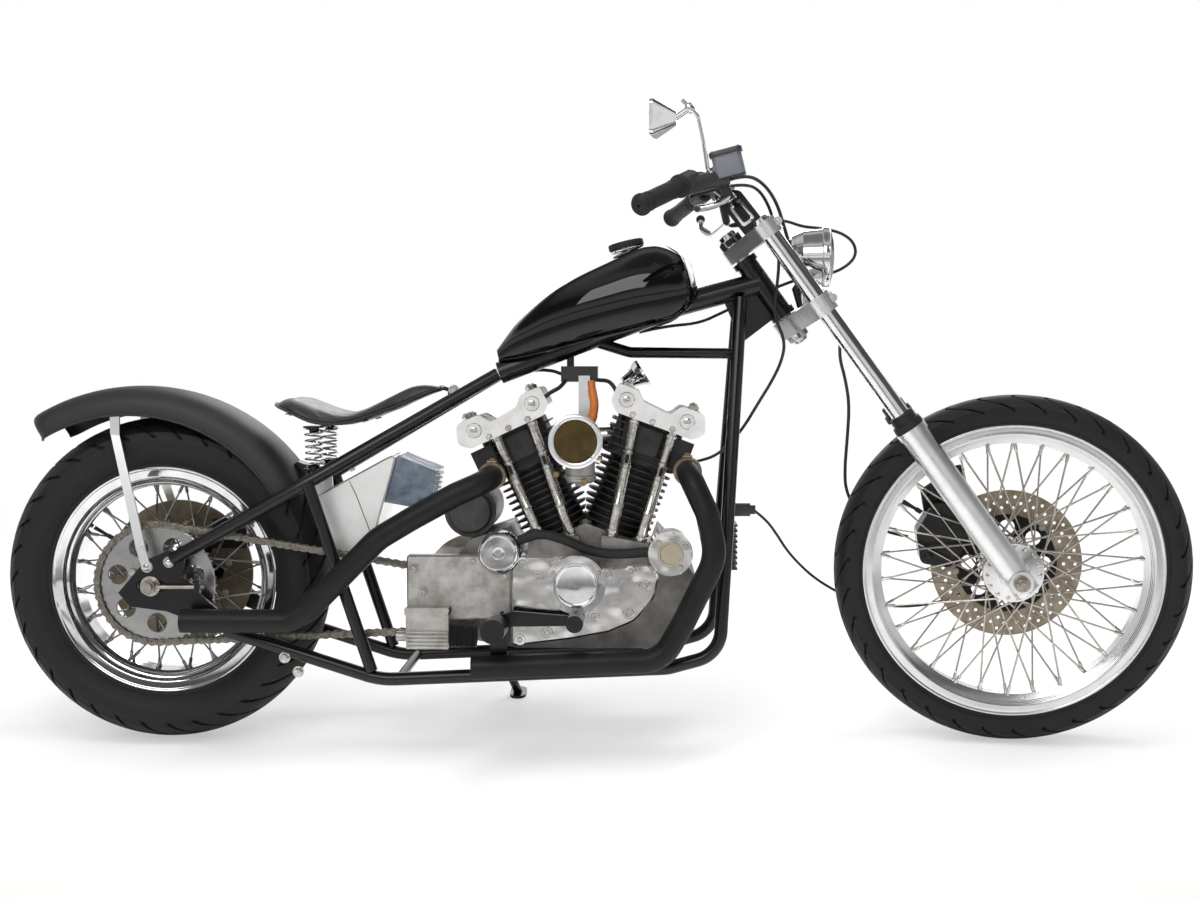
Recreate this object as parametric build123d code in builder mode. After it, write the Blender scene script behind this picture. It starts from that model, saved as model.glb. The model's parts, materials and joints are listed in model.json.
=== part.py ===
from build123d import *
from math import atan2, cos, degrees, radians, sin, tan
import os

# Hardtail chopper motorcycle with a 45 degree V-twin, modelled in millimetres.
# The pieces are drawn with the machine upright and its wheels in line: X runs forward from the rear axle,
# Y to the rider's left and Z up from the ground.  At the end they are turned as the machine parks, with its
# bars a little to the right and its weight on the side stand, and the origin goes under the middle of its box.

# ------------------------------------------------------------------ driving sizes
WHEELBASE = 1645
RAKE = 36                     # head angle, degrees from upright
TREE_OFFSET = 70              # fork legs ahead of the steering stem
FORK_LENGTH = 789             # from the top of the head tube down to the front axle, along the stem
PARKED_STEER = 6.4            # bars turned to the right, degrees
LEAN = 8                      # parked lean to the left, degrees

REAR_TYRE_RADIUS = 316
REAR_TYRE_HALF_WIDTH = 70
REAR_BEAD_RADIUS = 203.2      # 16 inch rim
REAR_RIM_HALF_WIDTH = 48
FRONT_TYRE_RADIUS = 339
FRONT_TYRE_HALF_WIDTH = 41
FRONT_BEAD_RADIUS = 266.7     # 21 inch rim
FRONT_RIM_HALF_WIDTH = 31
RIM_FLANGE = 17               # height of the rim flange above the bead seat
RIM_WALL = 3
TYRE_WALL = 9
AXLE_RADIUS = 10
RUNNING_FIT = 0.05            # radial clearance of a turning joint
FACE_GAP = 0.3                # end clearance of a turning joint
SEAT_GAP = 0.3                # between a piece and what it sits on
SPOKE_RADIUS = 1.9

TUBE = 25.4                   # cradle, stays and struts
BACKBONE_TUBE = 44
CRADLE_HALF_WIDTH = 118       # lower rails from the centre line
STAY_HALF_WIDTH = 122         # stays at the rear axle
NECK_RADIUS = 21
NECK_LENGTH = 135
STEM_RADIUS = 15

FORK_TUBE_RADIUS = 17.5
SLIDER_RADIUS = 27
FORK_HALF_SPACING = 105
SLIDER_TOP = 437              # below the top of the head tube, along the stem
BAR_RADIUS = 11.1
DISC_RADIUS = 146
DISC_THICKNESS = 5
DISC_CLEARANCE = 5            # between a turning disc and its caliper

PIPE_RADIUS = 22.2
PIPE_WALL = 1.6
PIPE_Y = -165                 # exhaust pipes, clear of the right side covers

V_HALF_ANGLE = 22.5
ENGINE_TILT = 2.4             # V leans back in the frame
CRANK = (827, 0, 292)
BARREL_FOOT = 130             # distances from the crank along a cylinder's axis
HEAD_FOOT = 275
ROCKER_FOOT = 350
ROCKER_TOP = 403
FIN_RADIUS = 72
BARREL_RADIUS = 54

SPROCKET_TEETH = 45
CHAIN_PITCH = 15.875
CHAIN_Y = -90

# ------------------------------------------------------------------ derived places
REAR_AXLE = Vector(0, 0, REAR_TYRE_RADIUS)
FRONT_AXLE = Vector(WHEELBASE, 0, FRONT_TYRE_RADIUS)
STEM_UP = Vector(-sin(radians(RAKE)), 0, cos(radians(RAKE)))
STEM_AHEAD = Vector(cos(radians(RAKE)), 0, sin(radians(RAKE)))
NECK_TOP = FRONT_AXLE - STEM_AHEAD * TREE_OFFSET + STEM_UP * FORK_LENGTH
STEERING = Plane(origin=NECK_TOP, x_dir=STEM_AHEAD, z_dir=STEM_UP)
SIDES = (-1, 1)               # right, left


# ------------------------------------------------------------------ helpers
def steer(ahead, left, up):
    """A place given ahead of, to the left of and up the steering stem, in the machine's frame."""
    return STEERING.from_local_coords(Vector(ahead, left, up))


def rod(start, end, radius, mode=Mode.ADD):
    """A round bar between two places, in the part being built."""
    run = Vector(end) - Vector(start)
    with BuildSketch(Plane(origin=start, z_dir=run)) as section:
        Circle(radius)
    extrude(section.sketch, amount=run.length, mode=mode)


def bent_tube(points, bends, radius, mode=Mode.ADD):
    """A round tube along straight runs joined by bends, in the part being built."""
    with BuildLine() as run:
        FilletPolyline(*points, radius=bends)
    with BuildSketch(Plane(origin=run.line @ 0, z_dir=run.line % 0)) as section:
        Circle(radius)
    sweep(section.sketch, run.line, mode=mode)


def turned(centre, outline, mode=Mode.ADD):
    """A ring turned about the cross axis through centre, from its (radius, y) outline."""
    with BuildSketch(Plane(origin=centre, x_dir=(1, 0, 0), z_dir=(0, 0, 1))) as section:
        with BuildLine():
            Polyline(*outline, close=True)
        make_face()
    revolve(section.sketch, Axis(centre, (0, 1, 0)), mode=mode)


def side_plate(points, y_near, y_far, mode=Mode.ADD):
    """A plate with an (x, z) outline, from one y to another."""
    with BuildSketch(Plane(origin=(0, y_near, 0), x_dir=(1, 0, 0), z_dir=(0, -1, 0))) as section:
        with BuildLine():
            Polyline(*points, close=True)
        make_face()
    extrude(section.sketch, amount=y_near - y_far, mode=mode)


def rounded_plate(points, corner, y_near, y_far, mode=Mode.ADD):
    """A plate with a round-cornered (x, z) outline, from one y to another."""
    with BuildSketch(Plane(origin=(0, y_near, 0), x_dir=(1, 0, 0), z_dir=(0, -1, 0))) as section:
        with BuildLine():
            FilletPolyline(*points, radius=corner, close=True)
        make_face()
    extrude(section.sketch, amount=y_near - y_far, mode=mode)


def cord(points, radius):
    """A cable along straight runs joined by tangent arcs, as wide as the runs allow."""
    places = [Vector(point) for point in points]
    runs = [after - before for before, after in zip(places, places[1:])]
    bends = [
        0.45 * min(before.length, after.length) / tan(radians(before.get_angle(after) / 2))
        for before, after in zip(runs, runs[1:])]
    bent_tube(points, bends, radius)


def as_parked(piece, steered):
    """The piece turned with the bars, if it is steered, and leaned onto the stand."""
    label = piece.label
    if steered:
        piece = piece.rotate(Axis(NECK_TOP, STEM_UP), -PARKED_STEER)
    piece = piece.moved(Location((0, 0, 0), (-LEAN, 0, 0)))
    piece.label = label
    return piece


def mirrored(points, side):
    """The same places on the right (-1) or left (1) side."""
    return [(x, side * abs(y), z) for x, y, z in points]


# ------------------------------------------------------------------ wheels
def tyre(centre, crown, half_width, bead, rim_half_width):
    """A hollow tyre: crown, bulging walls and two beads that sit inside the rim flanges."""
    bead_out = rim_half_width - RIM_WALL - 0.5
    bead_in = bead_out - TYRE_WALL
    flange = bead + RIM_FLANGE
    bulge = (flange + crown) / 2
    shoulder = crown - 0.18 * (crown - bead)
    with BuildSketch(Plane(origin=centre, x_dir=(1, 0, 0), z_dir=(0, 0, 1))) as section:
        with BuildLine():
            Polyline((flange, -bead_out), (bead + 0.2, -bead_out), (bead + 0.2, bead_out), (flange, bead_out))
            ThreePointArc((flange, bead_out), (bulge, half_width), (shoulder, 0.82 * half_width))
            ThreePointArc((shoulder, 0.82 * half_width), (crown, 0), (shoulder, -0.82 * half_width))
            ThreePointArc((shoulder, -0.82 * half_width), (bulge, -half_width), (flange, -bead_out))
        make_face()
        offset(amount=-TYRE_WALL, mode=Mode.SUBTRACT)
        with Locations((bead, 0)):
            Rectangle(4 * TYRE_WALL, 2 * bead_in, mode=Mode.SUBTRACT)
    revolve(section.sketch, Axis(centre, (0, 1, 0)))


def rim(centre, bead, half_width):
    """A drop-centre rim of even wall: flanges, bead seats and a well."""
    well = bead - 17
    inside = half_width - RIM_WALL
    outline = [(bead + RIM_FLANGE, half_width), (bead + RIM_FLANGE, inside), (bead, inside - 0.5)]
    outline += [(bead, 0.55 * half_width), (well, 0.42 * half_width)]
    outline += [(r, -y) for r, y in reversed(outline)]
    under = [(well - RIM_WALL, -0.45 * half_width), (bead - RIM_WALL, -0.6 * half_width)]
    under += [(bead - RIM_WALL, -half_width)]
    outline += reversed(under)
    outline += [(r, -y) for r, y in under]
    turned(centre, outline)


def spoke_planes(centre, count, side, lean, hub_radius, hub_y, rim_radius, rim_y):
    """One plane at each spoke's hub end, square to the spoke, and the spokes' length."""
    planes = []
    for index in range(count):
        at_rim = 360 / count * (index + 0.25 * lean) + (0 if side < 0 else 180 / count)
        at_hub = at_rim + 62 * lean
        start = Vector(hub_radius * cos(radians(at_hub)), side * hub_y, hub_radius * sin(radians(at_hub)))
        end = Vector(rim_radius * cos(radians(at_rim)), side * rim_y, rim_radius * sin(radians(at_rim)))
        planes.append(Plane(origin=centre + start, z_dir=end - start))
        length = (end - start).length
    return planes, length


REAR_HUB_FLANGE = 52
REAR_FLANGE_Y = 43
FRONT_HUB_FLANGE = 50
FRONT_FLANGE_Y = 38
FLANGE_THICKNESS = 6

with BuildPart() as rear_tyre:
    tyre(REAR_AXLE, REAR_TYRE_RADIUS, REAR_TYRE_HALF_WIDTH, REAR_BEAD_RADIUS, REAR_RIM_HALF_WIDTH)
rear_tyre.part.label = "rear_tyre"

with BuildPart() as front_tyre:
    tyre(FRONT_AXLE, FRONT_TYRE_RADIUS, FRONT_TYRE_HALF_WIDTH, FRONT_BEAD_RADIUS, FRONT_RIM_HALF_WIDTH)
front_tyre.part.label = "front_tyre"

with BuildPart() as rear_rim:
    rim(REAR_AXLE, REAR_BEAD_RADIUS, REAR_RIM_HALF_WIDTH)
rear_rim.part.label = "rear_rim"

with BuildPart() as front_rim:
    rim(FRONT_AXLE, FRONT_BEAD_RADIUS, FRONT_RIM_HALF_WIDTH)
front_rim.part.label = "front_rim"

REAR_SPOKES_A_SIDE = 20
FRONT_SPOKES_A_SIDE = 30
# columns: side, direction the spoke leans, inset of its hub end, place of its rim end across the rim
LACING = [(side, lean, 2.6 * lean, 8 + 3 * lean) for side in SIDES for lean in (-1, 1)]

with BuildPart() as rear_spokes:
    for side, lean, inset, rim_y in LACING:
        planes, length = spoke_planes(
            REAR_AXLE, REAR_SPOKES_A_SIDE // 2, side, lean, REAR_HUB_FLANGE, REAR_FLANGE_Y + inset,
            REAR_BEAD_RADIUS - 19, rim_y)
        with BuildSketch(*planes):
            RegularPolygon(SPOKE_RADIUS, 6)
        extrude(amount=length)
rear_spokes.part.label = "rear_spokes"

with BuildPart() as front_spokes:
    for side, lean, inset, rim_y in LACING:
        planes, length = spoke_planes(
            FRONT_AXLE, FRONT_SPOKES_A_SIDE // 2, side, lean, FRONT_HUB_FLANGE, FRONT_FLANGE_Y + inset,
            FRONT_BEAD_RADIUS - 19, rim_y)
        with BuildSketch(*planes):
            RegularPolygon(SPOKE_RADIUS, 6)
        extrude(amount=length)
front_spokes.part.label = "front_spokes"

REAR_HUB_HALF = 78            # hub body from the centre line to its end faces
REAR_DISC_Y = 80
FRONT_HUB_HALF = 66
FRONT_DISC_Y = 56
BORE = AXLE_RADIUS + RUNNING_FIT

with BuildPart() as rear_hub:
    turned(REAR_AXLE, [
        (BORE, -REAR_HUB_HALF), (38, -REAR_HUB_HALF), (38, -REAR_FLANGE_Y - 5),
        (REAR_HUB_FLANGE + 7, -REAR_FLANGE_Y - 3),
        (REAR_HUB_FLANGE + 7, -REAR_FLANGE_Y + 3), (30, -REAR_FLANGE_Y + 12), (30, REAR_FLANGE_Y - 12),
        (REAR_HUB_FLANGE + 7, REAR_FLANGE_Y - 3), (REAR_HUB_FLANGE + 7, REAR_FLANGE_Y + 3),
        (38, REAR_FLANGE_Y + 5),
        (38, REAR_HUB_HALF), (BORE, REAR_HUB_HALF)])
rear_hub.part.label = "rear_hub"

with BuildPart() as front_hub:
    turned(FRONT_AXLE, [
        (BORE, -FRONT_HUB_HALF), (22, -FRONT_HUB_HALF), (30, -FRONT_FLANGE_Y - 5),
        (FRONT_HUB_FLANGE + 7, -FRONT_FLANGE_Y - 3),
        (FRONT_HUB_FLANGE + 7, -FRONT_FLANGE_Y + 3), (25, -FRONT_FLANGE_Y + 10), (25, FRONT_FLANGE_Y - 10),
        (FRONT_HUB_FLANGE + 7, FRONT_FLANGE_Y - 3), (FRONT_HUB_FLANGE + 7, FRONT_FLANGE_Y + 3),
        (34, FRONT_FLANGE_Y + 5),
        (34, FRONT_HUB_HALF), (BORE, FRONT_HUB_HALF)])
front_hub.part.label = "front_hub"


def brake_disc(centre, y, hub_radius):
    """A disc on a carrier with round windows, centred on y."""
    face = DISC_THICKNESS / 2
    turned(centre, [(hub_radius, y - face), (DISC_RADIUS, y - face), (DISC_RADIUS, y + face),
                    (hub_radius, y + face)])
    for index in range(8):
        angle = radians(45 * index)
        window = centre + Vector(72 * cos(angle), y, 72 * sin(angle))
        rod(window - Vector(0, 10, 0), window + Vector(0, 10, 0), 15, Mode.SUBTRACT)


with BuildPart() as rear_disc:
    brake_disc(REAR_AXLE, REAR_DISC_Y - 20, 38)
rear_disc.part.label = "rear_disc"

with BuildPart() as front_disc:
    brake_disc(FRONT_AXLE, FRONT_DISC_Y, 34)
front_disc.part.label = "front_disc"

SPROCKET_PITCH_RADIUS = CHAIN_PITCH / 2 / sin(radians(180 / SPROCKET_TEETH))
SPROCKET_THICKNESS = 6
LIGHTENING_HOLES = 7

with BuildPart() as rear_sprocket:
    with BuildSketch(Plane(origin=REAR_AXLE + Vector(0, CHAIN_Y + SPROCKET_THICKNESS / 2, 0),
                           z_dir=(0, -1, 0))):
        Circle(SPROCKET_PITCH_RADIUS - 2)
        with PolarLocations(SPROCKET_PITCH_RADIUS - 3, SPROCKET_TEETH):
            RegularPolygon(6.2, 3)
        with PolarLocations(76, LIGHTENING_HOLES):
            Circle(19, mode=Mode.SUBTRACT)
        Circle(BORE, mode=Mode.SUBTRACT)
    extrude(amount=SPROCKET_THICKNESS)
    rod(REAR_AXLE + Vector(0, CHAIN_Y + SPROCKET_THICKNESS / 2, 0),
        REAR_AXLE + Vector(0, -REAR_HUB_HALF, 0), 38)
    rod(REAR_AXLE + Vector(0, -100, 0), REAR_AXLE + Vector(0, -70, 0), BORE, Mode.SUBTRACT)
rear_sprocket.part.label = "rear_sprocket"

# ------------------------------------------------------------------ frame
BACKBONE_FOOT = Vector(652, 0, 718)
BACKBONE_KNEE = steer(-151.5, 0, 3.5)
BACKBONE = [steer(0, 0, -55), BACKBONE_KNEE, BACKBONE_FOOT]
BACKBONE_SLOPE = degrees(atan2((BACKBONE_KNEE - BACKBONE_FOOT).Z, (BACKBONE_KNEE - BACKBONE_FOOT).X))
BACKBONE_BEND = 300
STAY_TOP = (650, 25, 716)
AXLE_PLATE_TOP = (40, STAY_HALF_WIDTH, 366)
RAIL_REAR = (434, CRADLE_HALF_WIDTH, 138)
RAIL_FRONT = (978, CRADLE_HALF_WIDTH, 163)
CRADLE_BEND = 90
DOWNTUBE_TOP = steer(-49, 26, -56)
DOWNTUBE_KNEE = Vector(1088, 112, 400)
CROSSBAR = DOWNTUBE_TOP + (DOWNTUBE_KNEE - DOWNTUBE_TOP) * 0.23
CROSSBAR_RADIUS = 9
BRACE_RADIUS = 10.5


def on_backbone(x):
    """The place on the backbone's straight run at a given x."""
    return BACKBONE_FOOT + (BACKBONE_KNEE - BACKBONE_FOOT) * ((x - BACKBONE_FOOT.X) / (BACKBONE_KNEE - BACKBONE_FOOT).X)


with BuildPart() as frame_backbone:
    rod(steer(0, 0, -NECK_LENGTH), NECK_TOP, NECK_RADIUS)
    for end in (0, 12 - NECK_LENGTH):
        rod(steer(0, 0, end - 12), steer(0, 0, end), NECK_RADIUS + 4)
    bent_tube(BACKBONE, BACKBONE_BEND, BACKBONE_TUBE / 2)
    gusset = [steer(ahead, 0, up) for ahead, up in ((-76, -37), (-16, -40), (-16, -126), (-96, -128))]
    side_plate([(corner.X, corner.Z) for corner in gusset], -7, 7)
    brace_end = on_backbone(835)
    bent_tube([(CROSSBAR.X - 6, 0, CROSSBAR.Z), (905, 0, CROSSBAR.Z + 2), (835, 0, brace_end.Z - 8)], 60,
              BRACE_RADIUS)
    rod(steer(0, 0, -NECK_LENGTH - 50), steer(0, 0, 50), STEM_RADIUS + RUNNING_FIT, Mode.SUBTRACT)
frame_backbone.part.label = "frame_backbone"

PLATE_THICKNESS = 10
AXLE_TRAVEL = 36              # length of the axle slots between their round ends
ADJUSTER_RADIUS = 4
SEAT_BAR = Vector(302, 0, 520)
SEAT_BAR_RADIUS = 8
FENDER_CENTRE = Vector(-51, 0, 313)
FENDER_RADIUS = 380
AXLE_PLATE = [(-62, 303), (-40, 277), (30, 268), (150, 222), (158, 244), (60, 330), (66, 372), (36, 384),
              (-8, 366)]

with BuildPart() as frame_stays:
    for side in SIDES:
        bent_tube(mirrored([STAY_TOP, (300, 114, 513), AXLE_PLATE_TOP], side), 300, TUBE / 2)
        rod((300, side * 122, 512), (418, side * 122, 155), TUBE / 2 - 1)
        middle = side * STAY_HALF_WIDTH
        side_plate(AXLE_PLATE, middle + PLATE_THICKNESS / 2, middle - PLATE_THICKNESS / 2)
    with BuildSketch(Plane(origin=REAR_AXLE, x_dir=(1, 0, 0), z_dir=(0, -1, 0))) as slot:
        SlotCenterToCenter(AXLE_TRAVEL, 2 * AXLE_RADIUS)
    extrude(slot.sketch, amount=200, both=True, mode=Mode.SUBTRACT)
    add(frame_backbone.part, mode=Mode.SUBTRACT)
    for side in SIDES:
        outer = side * (STAY_HALF_WIDTH + PLATE_THICKNESS / 2)
        side_plate([(88, 304), (98, 304), (98, 331), (88, 331)], max(outer, outer + side * 16),
                   min(outer, outer + side * 16))
        screw = REAR_AXLE + Vector(80, outer + side * 9, 0)
        rod(screw, screw + Vector(30, 0, 0), ADJUSTER_RADIUS, Mode.SUBTRACT)
frame_stays.part.label = "frame_stays"

with BuildPart() as frame_cradles:
    for side in SIDES:
        run = mirrored([
            DOWNTUBE_TOP, DOWNTUBE_KNEE, (1076, CRADLE_HALF_WIDTH, 190), RAIL_FRONT, RAIL_REAR,
            (140, STAY_HALF_WIDTH, 232)], side)
        bent_tube(run, [200, 60, 60, 160], TUBE / 2)
    add(frame_backbone.part, mode=Mode.SUBTRACT)
    add(frame_stays.part, mode=Mode.SUBTRACT)
frame_cradles.part.label = "frame_cradles"

with BuildPart() as frame_crossmembers:
    inner = CRADLE_HALF_WIDTH
    rod((470, -inner, 140), (470, inner, 140), 9)
    rod((940, -inner, 161), (940, inner, 161), 9)
    rod((CROSSBAR.X, -CROSSBAR.Y, CROSSBAR.Z), (CROSSBAR.X, CROSSBAR.Y, CROSSBAR.Z), CROSSBAR_RADIUS)
    rod(SEAT_BAR - Vector(0, 115, 0), SEAT_BAR + Vector(0, 115, 0), SEAT_BAR_RADIUS)
    tab = [(302, 513), (305, 527)]
    for radius, angle in ((FENDER_RADIUS + 6, 37), (FENDER_RADIUS + 0.4, 37), (FENDER_RADIUS + 0.4, 34)):
        reach = FENDER_CENTRE + Vector(cos(radians(angle)), 0, sin(radians(angle))) * radius
        tab.append((reach.X, reach.Z))
    side_plate(tab, 20, -20)
    rod((556, -50, 661), (556, 50, 661), 8)
    rod((556, 0, 661), (556, 0, 684), 6)
    rod((556, 0, 684), (542, 0, 688.5), 4)
    add(frame_backbone.part, mode=Mode.SUBTRACT)
    add(frame_stays.part, mode=Mode.SUBTRACT)
    add(frame_cradles.part, mode=Mode.SUBTRACT)
frame_crossmembers.part.label = "frame_crossmembers"

with BuildPart() as rear_axle:
    end = STAY_HALF_WIDTH + PLATE_THICKNESS / 2
    rod(REAR_AXLE - Vector(0, end + 26, 0), REAR_AXLE + Vector(0, end + 26, 0), AXLE_RADIUS)
    for side in SIDES:
        rod(REAR_AXLE + Vector(0, side * end, 0), REAR_AXLE + Vector(0, side * (end + 18), 0), 14)
        screw = REAR_AXLE + Vector(0, side * (end + 9), 0)
        rod(screw, screw + Vector(104, 0, 0), ADJUSTER_RADIUS)
    for side, hub_end in ((-1, -CHAIN_Y + SPROCKET_THICKNESS / 2), (1, REAR_HUB_HALF)):
        inside = STAY_HALF_WIDTH - PLATE_THICKNESS / 2
        rod(REAR_AXLE + Vector(0, side * (hub_end + FACE_GAP), 0),
            REAR_AXLE + Vector(0, side * inside, 0), 17)
rear_axle.part.label = "rear_axle"

# ------------------------------------------------------------------ tank, seat and fender
# columns: distance along the tank's base, height of its lower edge, height of its top, half width
TANK_STATIONS = [
    (3, 4, 26, 14), (60, 0, 72, 52), (150, 0, 119, 90), (250, 0, 144, 112), (335, 0, 156, 114),
    (388, 22, 130, 96),
    (406, 52, 98, 50)]
TANK_FOOT = BACKBONE_FOOT + Vector(-2, 0, 19)
TANK_SLOPE = BACKBONE_SLOPE - 7.3
TANK_ALONG = Vector(cos(radians(TANK_SLOPE)), 0, sin(radians(TANK_SLOPE)))
TANK_UP = Vector(-sin(radians(TANK_SLOPE)), 0, cos(radians(TANK_SLOPE)))
TANK_CAP = TANK_FOOT + TANK_ALONG * 294 + TANK_UP * 146
CAP_HEIGHT = 24

with BuildPart() as fuel_tank:
    for station, low, high, half in TANK_STATIONS:
        with BuildSketch(Plane(origin=TANK_FOOT + TANK_ALONG * station, x_dir=(0, 1, 0), z_dir=TANK_ALONG)):
            with BuildLine():
                middle = low + 0.42 * (high - low)
                ThreePointArc((-0.8 * half, low), (-half, middle), (-0.62 * half, high - 0.18 * (high - low)))
                ThreePointArc((-0.62 * half, high - 0.18 * (high - low)), (0, high),
                              (0.62 * half, high - 0.18 * (high - low)))
                ThreePointArc((0.62 * half, high - 0.18 * (high - low)), (half, middle), (0.8 * half, low))
                Line((0.8 * half, low), (-0.8 * half, low))
            make_face()
    loft()
    bent_tube(BACKBONE, BACKBONE_BEND, BACKBONE_TUBE / 2 + SEAT_GAP, Mode.SUBTRACT)
fuel_tank.part.label = "fuel_tank"

with BuildPart() as fuel_cap:
    rod(TANK_CAP, TANK_CAP + TANK_UP * CAP_HEIGHT, 30)
    rod(TANK_CAP + TANK_UP * CAP_HEIGHT / 2, TANK_CAP + TANK_UP * CAP_HEIGHT, 34)
    add(fuel_tank.part, mode=Mode.SUBTRACT)
fuel_cap.part.label = "fuel_cap"

with BuildPart() as seat:
    with BuildSketch(Plane.XZ) as outline:
        with BuildLine():
            Spline((222, 660), (268, 668), (321, 648), (361, 640), (402, 650), (460, 680), (500, 696),
                   (541, 692))
            Line((541, 692), (541, 686))
            Spline((541, 686), (498, 670), (456, 650), (398, 629), (350, 619), (300, 625), (222, 655))
            Line((222, 655), (222, 660))
        make_face()
    extrude(amount=130, both=True)
    with BuildSketch(Plane.XY.offset(500)) as plan:
        with BuildLine():
            Polyline((545, -22), (470, -40), (400, -90), (340, -118), (280, -118), (240, -90), (221, -40),
                     (221, 40),
                     (240, 90), (280, 118), (340, 118), (400, 90), (470, 40), (545, 22), close=True)
        make_face()
    extrude(amount=300, mode=Mode.INTERSECT)
seat.part.label = "seat"

FENDER_HALF_WIDTH = 90
FENDER_EDGE = 328             # radius of the skirt's lower edge
FENDER_SHOULDER = 350         # radius where the flat skirt turns in
FENDER_WALL = 3
FENDER_FRONT = 32             # angle of its front end, degrees above level
FENDER_SWEEP = 90
with BuildPart() as rear_fender:
    start = radians(FENDER_FRONT)
    face = Plane(origin=FENDER_CENTRE, x_dir=(cos(start), 0, sin(start)), z_dir=(-sin(start), 0, cos(start)))
    with BuildSketch(face) as section:
        for wall, mode in ((0, Mode.ADD), (FENDER_WALL, Mode.SUBTRACT)):
            half = FENDER_HALF_WIDTH - wall
            top = FENDER_RADIUS - wall
            with BuildSketch(mode=Mode.PRIVATE) as skin:
                with BuildLine():
                    Polyline((FENDER_SHOULDER, -half), (FENDER_EDGE, -half), (FENDER_EDGE, half),
                             (FENDER_SHOULDER, half))
                    ThreePointArc((FENDER_SHOULDER, half), (top - 10, 0.6 * half), (top, 0))
                    ThreePointArc((top, 0), (top - 10, -0.6 * half), (FENDER_SHOULDER, -half))
                make_face()
            add(skin.sketch, mode=mode)
    revolve(section.sketch, Axis(FENDER_CENTRE, (0, -1, 0)), FENDER_SWEEP)
rear_fender.part.label = "rear_fender"

STRUT_WALL = 5
with BuildPart() as fender_struts:
    top = FENDER_CENTRE.Z + FENDER_SHOULDER - 4
    in_fender = FENDER_HALF_WIDTH - FENDER_WALL - SEAT_GAP
    on_plate = STAY_HALF_WIDTH + PLATE_THICKNESS / 2 + SEAT_GAP
    side_plate([(-86, top), (-68, top), (-68, 600), (4, 350), (-14, 350), (-86, 604)], 0, 150)
    with BuildSketch(Plane.YZ) as flank:
        with BuildLine():
            Polyline((in_fender, top), (in_fender, 600), (on_plate + STRUT_WALL, 385),
                     (on_plate + STRUT_WALL, 349),
                     (on_plate, 349), (on_plate, 384), (in_fender - STRUT_WALL, 598),
                     (in_fender - STRUT_WALL, top),
                     close=True)
        make_face()
    extrude(flank.sketch, amount=100, both=True, mode=Mode.INTERSECT)
    mirror(about=Plane.XZ)
fender_struts.part.label = "fender_struts"

SPRING_RADIUS = 18
SPRING_WIRE = 4.5
SPRING_TURNS = 5
SPRING_FOOT = 534
SPRING_HEIGHT = 78
with BuildPart() as seat_springs:
    for side in SIDES:
        foot = Vector(302, side * 70, SPRING_FOOT)
        with BuildLine() as coil:
            Helix(SPRING_HEIGHT / SPRING_TURNS, SPRING_HEIGHT, SPRING_RADIUS, center=tuple(foot))
        with BuildSketch(Plane(origin=coil.line @ 0, z_dir=coil.line % 0)) as wire:
            Rectangle(SPRING_WIRE, SPRING_WIRE)
        sweep(wire.sketch, coil.line, is_frenet=True)
        rod(foot - Vector(0, 0, 7), foot, SPRING_RADIUS + 3)
        rod(foot + Vector(0, 0, SPRING_HEIGHT), foot + Vector(0, 0, SPRING_HEIGHT + 4), SPRING_RADIUS + 3)
    add(frame_crossmembers.part, mode=Mode.SUBTRACT)
seat_springs.part.label = "seat_springs"

OIL_TANK_HALF_WIDTH = 74      # clear of the chain
with BuildPart() as oil_tank:
    rounded_plate([(300, 480), (440, 556), (462, 566), (415, 400), (345, 350)], 7, -OIL_TANK_HALF_WIDTH,
                  OIL_TANK_HALF_WIDTH)
    chamfer(faces().filter_by(Axis.Y).edges(), 3)
    hanger_top = SEAT_BAR.Z - SEAT_BAR_RADIUS - SEAT_GAP
    for side in SIDES:
        side_plate([(291, 455), (314, 480), (312, hanger_top), (292, hanger_top)], side * 46, side * 40)
oil_tank.part.label = "oil_tank"

BATTERY_TOP = (535, 530)      # front edge of the battery box, top and bottom
BATTERY_FOOT = (520, 455)
COOLING_FINS = 8
with BuildPart() as battery_box:
    side_plate([(461, 560), BATTERY_TOP, BATTERY_FOOT, (435.6, 470)], -60, 60)
    for fin in range(COOLING_FINS):
        share = (fin + 0.5) / COOLING_FINS
        x = BATTERY_TOP[0] + (BATTERY_FOOT[0] - BATTERY_TOP[0]) * share
        z = BATTERY_TOP[1] + (BATTERY_FOOT[1] - BATTERY_TOP[1]) * share
        side_plate([(x - 2, z - 1.5), (x + 9, z - 3.5), (x + 9, z - 0.5), (x - 2, z + 1.5)], -60, -4)
battery_box.part.label = "battery_box"

COIL_FOOT = 701
with BuildPart() as coil_box:
    with Locations((808, 0, COIL_FOOT + 15)):
        Box(70, 60, 30)
    rod((790, 0, COIL_FOOT + 24), on_backbone(790), 7)
    add(frame_backbone.part, mode=Mode.SUBTRACT)
coil_box.part.label = "coil_box"

# ------------------------------------------------------------------ engine
def cylinder_plane(tilt):
    """The frame of a cylinder: its z runs up the bore from the crank, its x forward."""
    turn = radians(tilt)
    return Plane(origin=CRANK, x_dir=(cos(turn), 0, -sin(turn)), z_dir=(sin(turn), 0, cos(turn)))


REAR_BORE = cylinder_plane(-V_HALF_ANGLE - ENGINE_TILT)
FRONT_BORE = cylinder_plane(V_HALF_ANGLE - ENGINE_TILT)
CASE_RIGHT = -75
CASE_LEFT = 110
TAPPET_RIGHT = -106           # outer face of the tappet blocks above the gear case
FRONT_SPROCKET = Vector(580, 0, 283)
FRONT_SPROCKET_RADIUS = 53
CHAIN_HALF_HEIGHT = 7.5

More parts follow.
